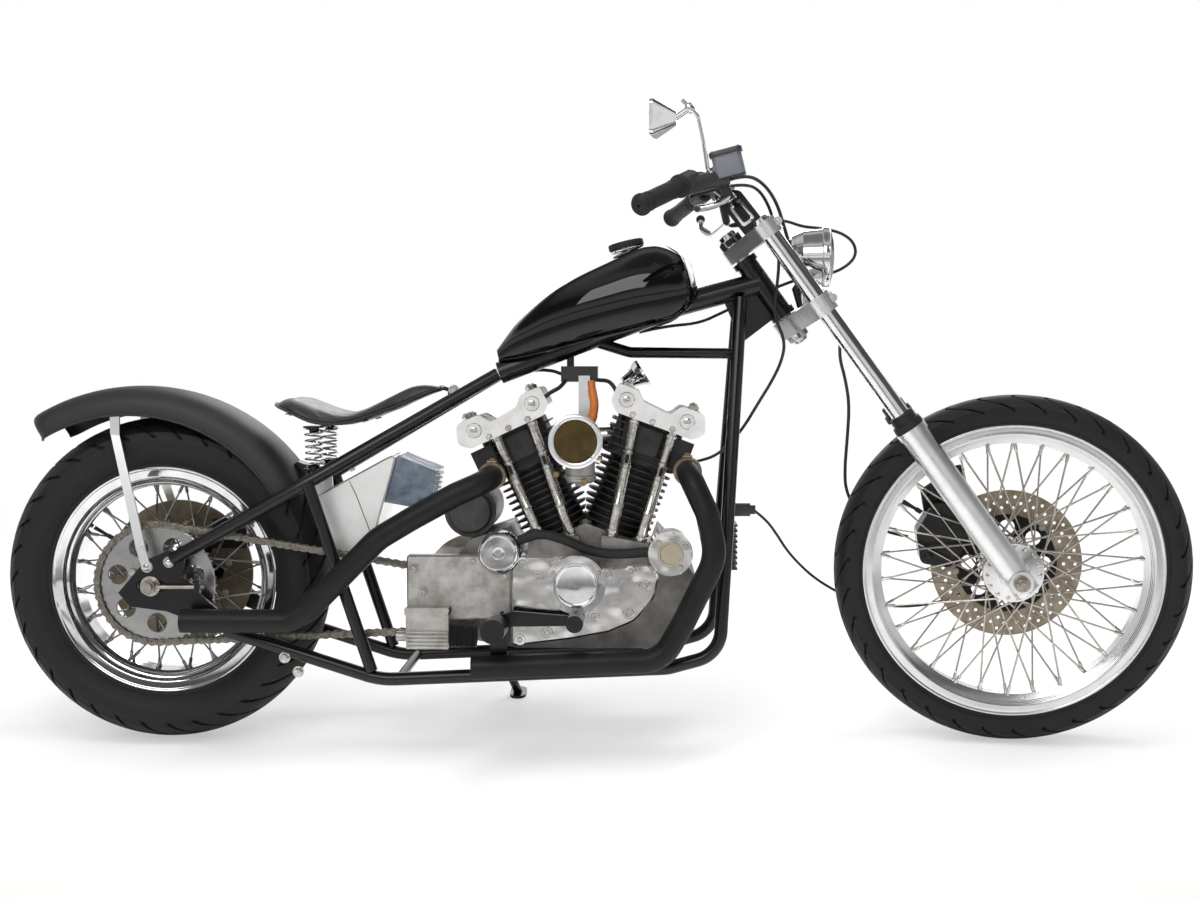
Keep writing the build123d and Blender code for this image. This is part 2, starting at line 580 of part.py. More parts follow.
with BuildPart() as crankcase:
    side_plate([(560, 215), (690, 192), (960, 192), (1030, 240), (1032, 330), (985, 392), (940, 440),
                (720, 440),
                (600, 400), (545, 330)], CASE_RIGHT, CASE_LEFT)
    rod(FRONT_SPROCKET + Vector(0, CASE_RIGHT, 0), FRONT_SPROCKET + Vector(0, CHAIN_Y - 7, 0),
        FRONT_SPROCKET_RADIUS - CHAIN_HALF_HEIGHT - SEAT_GAP)
    for bore in (REAR_BORE, FRONT_BORE):
        with BuildSketch(bore.offset(BARREL_FOOT)) as deck:
            Rectangle(2 * FIN_RADIUS + 20, 400)
        extrude(deck.sketch, amount=200, mode=Mode.SUBTRACT)
    side_plate([(712, 370), (816, 370), (810, 411), (716, 416)], CASE_RIGHT, TAPPET_RIGHT)
    side_plate([(850, 350), (946, 360), (941, 397), (854, 413)], CASE_RIGHT, TAPPET_RIGHT)
crankcase.part.label = "crankcase"

FILTER = (662, 384)           # oil filter's centre
FILTER_RADIUS = 39
COVER_Y = -130                # outer face of the gear case cover
TIMER = (983, 382)            # ignition cover's centre
GENERATOR_DRIVE = (807, 324)

with BuildPart() as gearcase_cover:
    rounded_plate([(684, 205), (795, 219), (868, 233), (917, 254), (953, 298), (962, 340), (941, 363),
                   (860, 353),
                   (771, 377), (684, 377)], [8, 30, 40, 40, 40, 18, 14, 40, 60, 8], CASE_RIGHT, COVER_Y)
    chamfer(faces().sort_by(Axis.Y)[0].edges(), 4)
    for radius, depth in ((55, 12), (49, 16), (42, 19)):
        rod((GENERATOR_DRIVE[0], COVER_Y + 6, GENERATOR_DRIVE[1]),
            (GENERATOR_DRIVE[0], COVER_Y - depth, GENERATOR_DRIVE[1]), radius)
    for radius, depth in ((42, 4), (38, 9), (24, 12)):
        rod((TIMER[0], CASE_RIGHT, TIMER[1]), (TIMER[0], COVER_Y - depth, TIMER[1]), radius)
    rod((FILTER[0], -60, FILTER[1]), (FILTER[0], -160, FILTER[1]), FILTER_RADIUS + 2, Mode.SUBTRACT)
    add(crankcase.part, mode=Mode.SUBTRACT)
gearcase_cover.part.label = "gearcase_cover"

SPROCKET_COVER_BACK = -106
SPROCKET_COVER_FACE = -128
with BuildPart() as sprocket_cover:
    rounded_plate([(487, 250), (683, 258), (683, 377), (487, 377)], 6, SPROCKET_COVER_BACK,
                  SPROCKET_COVER_FACE)
    chamfer(faces().sort_by(Axis.Y)[0].edges(), 3)
    for x, z in ((612, 366), (658, 268)):
        rod((x, CASE_RIGHT, z), (x, SPROCKET_COVER_BACK, z), 7)
    for x, z in ((500, 352), (518, 308), (672, 338)):
        rod((x, SPROCKET_COVER_FACE + 4, z), (x, SPROCKET_COVER_FACE - 3, z), 9)
    rod((FILTER[0], -60, FILTER[1]), (FILTER[0], -160, FILTER[1]), FILTER_RADIUS + 2, Mode.SUBTRACT)
sprocket_cover.part.label = "sprocket_cover"

with BuildPart() as oil_filter:
    rod((FILTER[0], CASE_RIGHT, FILTER[1]), (FILTER[0], -148, FILTER[1]), FILTER_RADIUS)
    fillet(faces().sort_by(Axis.Y)[0].edges(), 4)
    rod((FILTER[0], -147, FILTER[1]), (FILTER[0], -151, FILTER[1]), 8)
oil_filter.part.label = "oil_filter"

PRIMARY_FACE = 180
with BuildPart() as primary_cover:
    for grow, near, far in ((0, CASE_LEFT, PRIMARY_FACE - 8), (-10, CASE_LEFT, PRIMARY_FACE)):
        with BuildSketch(Plane(origin=(0, near, 0), x_dir=(1, 0, 0), z_dir=(0, -1, 0))) as section:
            with Locations((827, 292)):
                Circle(85 + grow)
            with Locations((590, 285)):
                Circle(105 + grow)
            make_hull()
        extrude(section.sketch, amount=near - far)
    for x, z, radius in ((590, 285, 62), (827, 292, 48)):
        rod((x, PRIMARY_FACE - 2, z), (x, PRIMARY_FACE + 6, z), radius)
primary_cover.part.label = "primary_cover"

with BuildPart() as starter_motor:
    rod((600, -60, 453.2), (600, 100, 453.2), 50)
    for end, outer in ((-60, -72), (100, 108)):
        rod((600, end, 453.2), (600, outer, 453.2), 42)
        chamfer(edges().filter_by(GeomType.CIRCLE).sort_by(Axis.Y)[0 if end < 0 else -1], 4)
starter_motor.part.label = "starter_motor"


BARREL_FINS = 11
HEAD_FINS = 5
HEAD_FIN_PITCH = 15
FIN_THICKNESS = 3


def barrel(bore, outward):
    """A finned barrel with its finned head, whose exhaust port block faces outward (-1 or 1) along the V."""
    pitch = (HEAD_FOOT - BARREL_FOOT) / BARREL_FINS
    with BuildSketch(Plane(origin=bore.origin, x_dir=bore.x_dir, z_dir=-bore.y_dir)) as section:
        with BuildLine():
            outline = [(0, BARREL_FOOT)]
            for fin in range(BARREL_FINS):
                top = BARREL_FOOT + pitch * (fin + 1) - 1
                outline += [(BARREL_RADIUS, top - pitch + 1), (BARREL_RADIUS, top - FIN_THICKNESS)]
                outline += [(FIN_RADIUS, top - FIN_THICKNESS), (FIN_RADIUS, top), (BARREL_RADIUS, top)]
            Polyline(*outline, (BARREL_RADIUS, HEAD_FOOT), (0, HEAD_FOOT), close=True)
        make_face()
    revolve(section.sketch, Axis(bore.origin, bore.z_dir))
    with BuildSketch(bore.offset(HEAD_FOOT)) as head:
        RectangleRounded(130, 122, 26)
    extrude(head.sketch, amount=ROCKER_FOOT - HEAD_FOOT)
    for fin in range(HEAD_FINS):
        with BuildSketch(bore.offset(HEAD_FOOT + HEAD_FIN_PITCH * fin)) as edge:
            RectangleRounded(150, 140, 30)
        extrude(edge.sketch, amount=FIN_THICKNESS)
    with BuildSketch(bore.offset(HEAD_FOOT + 8)) as port:
        with Locations((outward * 66, -57)):
            RectangleRounded(48, 32, 8)
    extrude(port.sketch, amount=ROCKER_FOOT - HEAD_FOOT - 16)


V_MIDDLE = cylinder_plane(-ENGINE_TILT)


with BuildPart() as rear_cylinder:
    barrel(REAR_BORE, -1)
    split(bisect_by=Plane(origin=V_MIDDLE.origin - V_MIDDLE.x_dir, z_dir=V_MIDDLE.x_dir), keep=Keep.BOTTOM)

with BuildPart() as front_cylinder:
    barrel(FRONT_BORE, 1)
    split(bisect_by=Plane(origin=V_MIDDLE.origin + V_MIDDLE.x_dir, z_dir=V_MIDDLE.x_dir), keep=Keep.TOP)

with BuildPart() as cylinders:
    add(rear_cylinder.part)
    add(front_cylinder.part)
cylinders.part.label = "cylinders"

ROCKER_RIGHT = -96            # over the pushrods' tops
ROCKER_LEFT = 55
# the rocker box's outline across the bore: x outward from the V, y up the bore, corner radius
ROCKER_OUTLINE = [
    (-70, ROCKER_FOOT, 8), (80, ROCKER_FOOT, 14), (101, 366, 14), (88, ROCKER_TOP, 14), (42, ROCKER_TOP, 12),
    (26, 380, 12), (-30, 386, 12), (-46, ROCKER_TOP, 10), (-86, ROCKER_TOP, 8), (-88, 366, 14)]
ROCKER_SHAFTS = ((-60, 379), (61, 379))

with BuildPart() as rocker_boxes:
    for bore, outward in ((REAR_BORE, -1), (FRONT_BORE, 1)):
        face = Plane(origin=bore.origin + Vector(0, ROCKER_RIGHT, 0), x_dir=bore.x_dir, z_dir=-bore.y_dir)
        with BuildSketch(face) as section:
            with BuildLine():
                FilletPolyline(*[(outward * x, y) for x, y, corner in ROCKER_OUTLINE],
                               radius=[corner for x, y, corner in ROCKER_OUTLINE], close=True)
            make_face()
        extrude(section.sketch, amount=ROCKER_RIGHT - ROCKER_LEFT)
        for y in (-64, 24):
            with BuildSketch(face.offset(ROCKER_RIGHT - y)) as valley:
                with Locations((0, ROCKER_TOP)):
                    Rectangle(220, 24)
            extrude(valley.sketch, amount=-22, mode=Mode.SUBTRACT)
        for x, y in ROCKER_SHAFTS:
            end = bore.from_local_coords(Vector(outward * x, ROCKER_RIGHT, y))
            rod(end + Vector(0, 6, 0), end - Vector(0, 4, 0), 11)
            rod(end, end - Vector(0, 9, 0), 5, Mode.SUBTRACT)
rocker_boxes.part.label = "rocker_boxes"

PUSHROD_RADIUS = 9
# columns: top x, top z, foot x, foot z
PUSHRODS = [(653, 600, 732, 415), (719, 628, 794, 412), (916, 632, 872, 412), (986, 603, 925, 398)]
with BuildPart() as pushrod_tubes:
    for top_x, top_z, foot_x, foot_z in PUSHRODS:
        foot = Vector(foot_x, -90, foot_z)
        top = Vector(top_x, -84, top_z)
        past = (top - foot).normalized() * 9
        rod(foot - past, top + past, PUSHROD_RADIUS - 1.5)
        middle = foot + (top - foot) * 0.52
        rod(foot - past, middle, PUSHROD_RADIUS)
        rod(middle - past * 0.4, middle + past * 0.4, PUSHROD_RADIUS + 1.5)
    add(crankcase.part, mode=Mode.SUBTRACT)
    add(rocker_boxes.part, mode=Mode.SUBTRACT)
pushrod_tubes.part.label = "pushrod_tubes"

CARB = (808, 595)             # centre of the carburettor's mouth
MOUTH_RADIUS = 40
MOUTH_Y = -196
MOUTH_DEPTH = 31
with BuildPart() as carburettor:
    manifold = [V_MIDDLE.from_local_coords(Vector(across, 0, 303)) for across in (-60, 60)]
    rod(manifold[0], manifold[1], 18)
    rod((CARB[0], 0, CARB[1] - 3), (CARB[0], -80, CARB[1] - 3), 24)
    add(cylinders.part, mode=Mode.SUBTRACT)
    rod((CARB[0], -72, CARB[1]), (CARB[0], -82, CARB[1]), 33)
    rod((CARB[0], -80, CARB[1]), (CARB[0], MOUTH_Y + 38, CARB[1]), 30)
    horn = Plane(origin=(CARB[0], MOUTH_Y, CARB[1]), x_dir=(1, 0, 0), z_dir=(0, 0, 1))
    with BuildSketch(horn) as outline:
        with BuildLine():
            Polyline((0, 41), (33, 41), (44, 33), (44, 7), (49, 4), (49, 0), (0, 0), close=True)
        make_face()
    revolve(outline.sketch, Axis(horn.origin, (0, 1, 0)))
    rod((CARB[0], MOUTH_Y + MOUTH_DEPTH, CARB[1]), (CARB[0], MOUTH_Y - 4, CARB[1]), MOUTH_RADIUS,
        Mode.SUBTRACT)
    rod((CARB[0] + 6, -126, 521), (CARB[0] + 6, -126, 575), 27)
    rod((CARB[0] + 6, -126, 514), (CARB[0] + 6, -126, 521), 9)
    rod((CARB[0] + 30, -128, 560), (CARB[0] + 44, -128, 556), 8)
    strap_x = CARB[0] + 10
    side_plate([(strap_x - 11, 612), (strap_x + 11, 612), (strap_x + 11, COIL_FOOT + 12),
                (strap_x - 11, COIL_FOOT + 12)],
               -30 - SEAT_GAP, -33 - SEAT_GAP)
carburettor.part.label = "carburettor"

TAIL_LENGTH = 150             # straight, open end of each pipe
CLAMP_WIDTH = 14
REAR_PIPE = [(648, -60, 527), (643, -150, 520), (585, PIPE_Y, 495), (500, PIPE_Y, 448), (440, PIPE_Y, 412),
             (310, PIPE_Y, 280), (270, PIPE_Y, 257), (70, PIPE_Y, 257)]
FRONT_PIPE = [(1012, -60, 540), (1018, -148, 528), (1050, PIPE_Y, 460), (1066, PIPE_Y, 380),
              (1005, PIPE_Y, 255),
              (966, PIPE_Y, 187), (613, PIPE_Y, 171)]


def exhaust(points, bends, head):
    """A pipe from a head's port to its open tail, with its clamp at the port."""
    last, tail = Vector(points[-2]), Vector(points[-1])
    along = (tail - last).normalized()
    bent_tube(points[:-1] + [tuple(tail - along * TAIL_LENGTH)], bends, PIPE_RADIUS)
    rod(tail - along * TAIL_LENGTH, tail, PIPE_RADIUS)
    port = Vector(points[0])
    out = (Vector(points[1]) - port).normalized()
    rod(port + out * 34, port + out * (34 + CLAMP_WIDTH), PIPE_RADIUS + 4)
    add(head, mode=Mode.SUBTRACT)
    rod(tail - along * 120, tail + along, PIPE_RADIUS - PIPE_WALL, Mode.SUBTRACT)


with BuildPart() as rear_exhaust:
    exhaust(REAR_PIPE, [40, 40, 120, 120, 60, 40], rear_cylinder.part)

with BuildPart() as front_exhaust:
    exhaust(FRONT_PIPE, [40, 60, 90, 200, 60], front_cylinder.part)

with BuildPart() as exhaust_pipes:
    add(rear_exhaust.part)
    add(front_exhaust.part)
exhaust_pipes.part.label = "exhaust_pipes"

with BuildPart() as master_cylinder:
    rounded_plate([(489, 204), (569, 204), (569, 268), (489, 268)], 3, SPROCKET_COVER_FACE, -156)
    rounded_plate([(487, 268), (571, 268), (571, 282), (487, 282)], 3, SPROCKET_COVER_FACE, -160)
    for rib in range(5):
        side_plate([(491, 207 + rib * 7), (567, 207 + rib * 7), (567, 210 + rib * 7),
                    (491, 210 + rib * 7)], -155, -160)
    rod((490, -144, 226), (470, -144, 226), 9)
    bellows = Plane(origin=(569, -145, 226), x_dir=(1, 0, 0), z_dir=(0, -1, 0))
    with BuildSketch(bellows) as outline:
        with BuildLine():
            folds = [(6 * fold + offset, 21 if offset else 17) for fold in range(9) for offset in (0, 3)]
            Polyline((0, 0), *folds, (54, 0), close=True)
        make_face()
    revolve(outline.sketch, Axis(bellows.origin, (1, 0, 0)))
master_cylinder.part.label = "rear_master_cylinder"

with BuildPart() as footpegs:
    side_plate([(645, 152), (677, 153), (677, 258), (645, 258)], -131, -139)
    bent_tube([(661, 131, 148), (661, 196, 148), (661, 196, 250)], 20, 9)
    for side, mount in ((-1, 139), (1, 200)):
        rod((661, side * mount, 248), (661, side * (mount + 34), 250), 10)
        rod((661, side * (mount + 34), 250), (661, side * (mount + 118), 256), 22)
    add(frame_cradles.part, mode=Mode.SUBTRACT)

with BuildPart() as brake_pedal:
    rounded_plate([(645, 262), (690, 277), (800, 268), (806, 250), (690, 248), (645, 238)],
                  [5, 20, 6, 6, 20, 5], -152, -160)
    rod((806, -140, 260), (806, -200, 260), 16)
    add(footpegs.part, mode=Mode.SUBTRACT)
    add(gearcase_cover.part, mode=Mode.SUBTRACT)

with BuildPart() as shift_lever:
    rod((720, 180.5, 240), (720, 196, 240), 9)
    rod((716, 192, 240), (826, 192, 246), 6)
    rod((824, 187, 246), (824, 230, 246), 10)

with BuildPart() as foot_controls:
    add(footpegs.part)
    add(brake_pedal.part)
    add(shift_lever.part)
foot_controls.part.label = "foot_controls"

# ------------------------------------------------------------------ chain
with BuildPart() as drive_chain:
    plane = Plane(origin=(0, CHAIN_Y + 10, 0), x_dir=(1, 0, 0), z_dir=(0, -1, 0))
    with BuildSketch(plane) as band:
        for grow, mode in ((CHAIN_HALF_HEIGHT, Mode.ADD), (-CHAIN_HALF_HEIGHT, Mode.SUBTRACT)):
            with BuildSketch(Plane.XY, mode=Mode.PRIVATE) as loop:
                with Locations((REAR_AXLE.X, REAR_AXLE.Z)):
                    Circle(SPROCKET_PITCH_RADIUS + grow)
                with Locations((FRONT_SPROCKET.X, FRONT_SPROCKET.Z)):
                    Circle(FRONT_SPROCKET_RADIUS + grow)
                make_hull()
            add(loop.sketch, mode=mode)
    extrude(amount=20)
    with BuildSketch(Plane(origin=(0, CHAIN_Y + 4.5, 0), x_dir=(1, 0, 0), z_dir=(0, -1, 0))):
        with Locations((REAR_AXLE.X, REAR_AXLE.Z)):
            Circle(SPROCKET_PITCH_RADIUS + 10)
    extrude(amount=9, mode=Mode.SUBTRACT)
drive_chain.part.label = "drive_chain"

CALIPER_GAP = DISC_THICKNESS / 2 + DISC_CLEARANCE
with BuildPart() as rear_caliper:
    with Locations((102, REAR_DISC_Y - 20 + 12, 396)):
        Box(70, 44, 60)
    turned(REAR_AXLE, [(40, REAR_DISC_Y - 20 - CALIPER_GAP),
                       (DISC_RADIUS + 5, REAR_DISC_Y - 20 - CALIPER_GAP),
                       (DISC_RADIUS + 5, REAR_DISC_Y - 20 + CALIPER_GAP),
                       (40, REAR_DISC_Y - 20 + CALIPER_GAP)], Mode.SUBTRACT)
    with BuildSketch(Plane(origin=(0, 92, 0), x_dir=(1, 0, 0), z_dir=(0, -1, 0))) as arm:
        with Locations((REAR_AXLE.X, REAR_AXLE.Z)):
            Circle(28)
        with Locations((100, 390)):
            Circle(24)
        make_hull()
        with Locations((REAR_AXLE.X, REAR_AXLE.Z)):
            Circle(17 + SEAT_GAP, mode=Mode.SUBTRACT)
    extrude(arm.sketch, amount=8)
rear_caliper.part.label = "rear_caliper"

# ------------------------------------------------------------------ side stand
STAND_PIVOT = Vector(640, 150, 128)
STAND_SPLAY = 40              # out from upright
STAND_AHEAD = 12              # past upright, so that the load holds it on its stop
STAND_RADIUS = 9
PIN_RADIUS = 6
FOOT_THICKNESS = 6
STAND_SWING = 102
BOSS_HALF = 10

lean = radians(LEAN)
GROUND_UP = Vector(0, -sin(lean), cos(lean))                 # the ground's normal, in the machine's frame
OUT_DOWN = Vector(0, sin(radians(STAND_SPLAY)), -cos(radians(STAND_SPLAY)))
STAND_AXIS = Vector(0, cos(radians(STAND_SPLAY)), sin(radians(STAND_SPLAY)))
LEG = OUT_DOWN * cos(radians(STAND_AHEAD)) + Vector(1, 0, 0) * sin(radians(STAND_AHEAD))
TREAD_DROP = -sum(as_parked(tyre_block.part, tyre_block is front_tyre).bounding_box().min.Z
                  for tyre_block in (rear_tyre, front_tyre)) / 2
LEG_LENGTH = (STAND_PIVOT.dot(GROUND_UP) + TREAD_DROP) / -LEG.dot(GROUND_UP)
STAND_FOOT = STAND_PIVOT + LEG * LEG_LENGTH

with BuildPart() as side_stand:
    rod(STAND_PIVOT - STAND_AXIS * BOSS_HALF, STAND_PIVOT + STAND_AXIS * BOSS_HALF, 15)
    rod(STAND_PIVOT, STAND_FOOT + GROUND_UP * FOOT_THICKNESS / 2, STAND_RADIUS)
    with BuildSketch(Plane(origin=STAND_FOOT - GROUND_UP * 40, z_dir=GROUND_UP)) as under:
        Circle(60)
    extrude(under.sketch, amount=40, mode=Mode.SUBTRACT)
    with BuildSketch(Plane(origin=STAND_FOOT, z_dir=GROUND_UP)) as pad:
        SlotOverall(60, 34)
    extrude(pad.sketch, amount=FOOT_THICKNESS)
    rod(STAND_PIVOT - STAND_AXIS * 20, STAND_PIVOT + STAND_AXIS * 20, PIN_RADIUS + RUNNING_FIT, Mode.SUBTRACT)
side_stand.part.label = "side_stand"

with BuildPart() as stand_bracket:
    for end in (-1, 1):
        near = STAND_PIVOT + STAND_AXIS * end * (BOSS_HALF + FACE_GAP)
        rod(near, near + STAND_AXIS * end * 6, 13)
    rod(STAND_PIVOT - STAND_AXIS * 19, STAND_PIVOT + STAND_AXIS * 16, PIN_RADIUS)
    rod(STAND_PIVOT - STAND_AXIS * 19, (640, CRADLE_HALF_WIDTH, 140), 6)
    add(frame_cradles.part, mode=Mode.SUBTRACT)
    add(frame_crossmembers.part)
stand_bracket.part.label = "frame_crossmembers"

# ------------------------------------------------------------------ fork and bars
LOWER_TREE_TOP = -137
LOWER_TREE_THICKNESS = 36
UPPER_TREE_THICKNESS = 30
CLAMP_RADIUS = 25


def tree(up, thickness, stem_clamp):
    """A fork yoke: a stem boss joined to two leg clamps, in the part being built."""
    with BuildSketch(STEERING.offset(up)) as plan:
        for side in SIDES:
            with BuildSketch(mode=Mode.PRIVATE) as arm:
                Circle(stem_clamp)
                with Locations((TREE_OFFSET, side * FORK_HALF_SPACING)):
                    Circle(CLAMP_RADIUS)
                make_hull()
            add(arm.sketch)
    extrude(plan.sketch, amount=thickness)


def leg(side, up):
    """A place on a fork leg's centre line."""
    return steer(TREE_OFFSET, side * FORK_HALF_SPACING, up)


with BuildPart() as fork_trees:
    for up, thickness, stem_clamp in (
            (4, UPPER_TREE_THICKNESS, 26), (LOWER_TREE_TOP - LOWER_TREE_THICKNESS, LOWER_TREE_THICKNESS, 30)):
        tree(up, thickness, stem_clamp)
        for side in SIDES:
            lug = steer(TREE_OFFSET + CLAMP_RADIUS - 1, side * FORK_HALF_SPACING, up + thickness / 2)
            rod(lug - Vector(0, 16, 0), lug + Vector(0, 16, 0), 8)
    rod(steer(0, 0, LOWER_TREE_TOP - LOWER_TREE_THICKNESS - 18), steer(0, 0, 52), STEM_RADIUS)
    for near, far, radius in ((34, 50, 23), (50, 58, 17), (-186, -173, 21)):
        rod(steer(0, 0, near), steer(0, 0, far), radius)
    for side in SIDES:
        rod(leg(side, -300), leg(side, 60), FORK_TUBE_RADIUS, Mode.SUBTRACT)
fork_trees.part.label = "fork_trees"

TUBE_OVERLAP = 100            # length of each tube inside its slider
with BuildPart() as fork_tubes:
    for side in SIDES:
        rod(leg(side, -SLIDER_TOP - TUBE_OVERLAP), leg(side, 38), FORK_TUBE_RADIUS)
        rod(leg(side, 38), leg(side, 41), FORK_TUBE_RADIUS - 3)
fork_tubes.part.label = "fork_tubes"

AXLE_BOSS_HALF = 30           # half length of each slider's axle boss
AXLE_BOSS_RADIUS = 22
LUG_UP = SLIDER_TOP + 151     # caliper lugs, below the top of the head tube
LUGS = (24, 101)              # ahead of the stem
LUG_RADIUS = 11
LUG_LEFT = 84                 # inner face of the lugs
with BuildPart() as fork_sliders:
    for side in SIDES:
        rod(leg(side, 22 - FORK_LENGTH), leg(side, -SLIDER_TOP), SLIDER_RADIUS)
        rod(leg(side, -SLIDER_TOP - 14), leg(side, -SLIDER_TOP), SLIDER_RADIUS + 2.5)
        rod(leg(side, -FORK_LENGTH - 26), leg(side, 22 - FORK_LENGTH), SLIDER_RADIUS - 3)
        boss = FRONT_AXLE + Vector(0, side * FORK_HALF_SPACING, 0)
        rod(boss - Vector(0, AXLE_BOSS_HALF, 0), boss + Vector(0, AXLE_BOSS_HALF, 0), AXLE_BOSS_RADIUS)
        rod(leg(side, -SLIDER_TOP - TUBE_OVERLAP), leg(side, -SLIDER_TOP), FORK_TUBE_RADIUS, Mode.SUBTRACT)
    with BuildSketch(Plane(origin=steer(0, LUG_LEFT + 12, 0), x_dir=STEM_AHEAD, z_dir=(0, -1, 0))) as lugs:
        with Locations(*[(ahead, -LUG_UP) for ahead in LUGS]):
            Circle(LUG_RADIUS)
        make_hull()
    extrude(lugs.sketch, amount=12)
    rod(leg(1, -SLIDER_TOP - TUBE_OVERLAP), leg(1, -SLIDER_TOP), FORK_TUBE_RADIUS, Mode.SUBTRACT)
    rod(FRONT_AXLE - Vector(0, 200, 0), FRONT_AXLE + Vector(0, 200, 0), AXLE_RADIUS, Mode.SUBTRACT)
fork_sliders.part.label = "fork_sliders"

with BuildPart() as fork_seals:
    for side in SIDES:
        for near, far, radius in ((0, 15, SLIDER_RADIUS + 1.5), (15, 32, SLIDER_RADIUS - 3.5)):
            rod(leg(side, near - SLIDER_TOP), leg(side, far - SLIDER_TOP), radius)
        rod(leg(side, -SLIDER_TOP - 10), leg(side, -SLIDER_TOP + 50), FORK_TUBE_RADIUS, Mode.SUBTRACT)
fork_seals.part.label = "fork_seals"

AXLE_HEAD = 8
with BuildPart() as front_axle:
    end = FORK_HALF_SPACING + AXLE_BOSS_HALF
    rod(FRONT_AXLE - Vector(0, end + AXLE_HEAD, 0), FRONT_AXLE + Vector(0, end + AXLE_HEAD, 0), AXLE_RADIUS)
    inside = FORK_HALF_SPACING - AXLE_BOSS_HALF
    for side in SIDES:
        rod(FRONT_AXLE + Vector(0, side * (FRONT_HUB_HALF + FACE_GAP), 0),
            FRONT_AXLE + Vector(0, side * inside, 0), 15)
        rod(FRONT_AXLE + Vector(0, side * end, 0), FRONT_AXLE + Vector(0, side * (end + AXLE_HEAD), 0), 15)
front_axle.part.label = "front_axle"

BAR_END = (-79, 372, 171.5)   # ahead, out from the middle and up the stem
BAR_CORNER = (31, 195, 162.6)
BAR_MIDDLE = (50, 75, 100)
RISER_HALF = 17
RISER = [(30, 34.3, 4), (74, 34.3, 4), (71, 108, 14), (54, 124, 14), (36, 116, 12), (27, 98, 12)]


def on_bar(side, along):
    """A place on the straight grip run of the bar, at a distance from its end."""
    outer = steer(BAR_END[0], side * BAR_END[1], BAR_END[2])
    inner = steer(BAR_CORNER[0], side * BAR_CORNER[1], BAR_CORNER[2])
    return outer + (inner - outer).normalized() * along


with BuildPart() as handlebar:
    half = [BAR_END, BAR_CORNER, BAR_MIDDLE]
    bent_tube([steer(ahead, -left, up) for ahead, left, up in half] + [steer(*point)
                                                                       for point in reversed(half)],
              80, BAR_RADIUS)
    for side in SIDES:
        with BuildSketch(Plane(origin=steer(0, side * 48 + RISER_HALF, 0), x_dir=STEM_AHEAD,
                               z_dir=(0, -1, 0))) as riser:
            with BuildLine():
                FilletPolyline(*[(ahead, up) for ahead, up, corner in RISER],
                               radius=[corner for ahead, up, corner in RISER], close=True)
            make_face()
        extrude(riser.sketch, amount=2 * RISER_HALF)
handlebar.part.label = "handlebar"

GRIP_LENGTH = 132
with BuildPart() as grips:
    for side in SIDES:
        for near, far, radius in ((-9, -4, 16), (-4, 8, 19.5), (8, GRIP_LENGTH, 16.5),
                                  (GRIP_LENGTH - 8, GRIP_LENGTH, 21)):
            rod(on_bar(side, near), on_bar(side, far), radius)
        rod(on_bar(side, 0), on_bar(side, GRIP_LENGTH + 8), BAR_RADIUS, Mode.SUBTRACT)
grips.part.label = "grips"

RESERVOIR = Plane(origin=steer(80, -207, 150), x_dir=(cos(radians(14)), 0, sin(radians(14))),
                  z_dir=(-sin(radians(14)), 0, cos(radians(14))))
LEVER_RADIUS = 5
with BuildPart() as hand_controls:
    for side in SIDES:
        rod(on_bar(side, GRIP_LENGTH + 1), on_bar(side, 172), 19)
    rod(on_bar(-1, 150) + Vector(0, 0, -6), steer(64, -212, 134), 16)
    with BuildSketch(RESERVOIR.offset(-24)) as body:
        RectangleRounded(52, 56, 8)
    extrude(body.sketch, amount=42)
    with BuildSketch(RESERVOIR.offset(18)) as lid:
        RectangleRounded(58, 62, 10)
    extrude(lid.sketch, amount=7)
    rod(steer(45, -198, 98), steer(52, -200, 128), 10)
    bent_tube([steer(47, -198, 104), steer(20, -245, 104), steer(-9, -335, 112)], 90, LEVER_RADIUS)
    rod(steer(34, 158, 141), steer(41, 138, 133), 18)
    rod(steer(36, 150, 134), steer(14, 166, 84), 8)
    bent_tube([steer(14, 166, 82), steer(-26, 236, 84), steer(-37, 296, 110), steer(-29, 329, 129)], 40,
              LEVER_RADIUS)
    with Locations(steer(-29, 329, 129)):
        Sphere(9)
    add(handlebar.part, mode=Mode.SUBTRACT)
hand_controls.part.label = "hand_controls"

LAMP = Vector(1196, 0, 941)   # back of the headlight
with BuildPart() as headlight:
    with BuildSketch(Plane(origin=LAMP, x_dir=(1, 0, 0), z_dir=(0, -1, 0))) as section:
        with BuildLine():
            Polyline((0, 0), (0, 14), (6, 26), (20, 40), (42, 50), (80, 53), (80, 57), (92, 57), (94, 54),
                     (100, 30),
                     (102, 0), close=True)
        make_face()
    revolve(section.sketch, Axis(LAMP, (1, 0, 0)))
    rod(LAMP + Vector(44, 0, -41), steer(34, 0, LOWER_TREE_TOP - 12), 8)
    add(fork_trees.part, mode=Mode.SUBTRACT)
headlight.part.label = "headlight"

MIRROR_GLASS = steer(17, -249, 291)
with BuildPart() as mirror:
    bent_tube([steer(46, -224, 148), steer(46, -231, 165), steer(66, -234, 203), steer(85, -242, 246),
               steer(79, -243, 286)],
              [12, 30, 20], 3.5)
    rod(steer(46, -222, 146), steer(46, -229, 160), 7)
    head = Plane(origin=MIRROR_GLASS, x_dir=(0, 1, 0), z_dir=(1, 0, 0))
    for reach, across, tall, corner in ((0, 104, 60, 8), (6, 106, 62, 9), (44, 26, 22, 6)):
        with BuildSketch(head.offset(reach)):
            RectangleRounded(across, tall, corner)
    loft(ruled=True)
    rod(MIRROR_GLASS + Vector(40, 0, 0), steer(82, -243, 266), 5)
    add(hand_controls.part, mode=Mode.SUBTRACT)
mirror.part.label = "mirror"

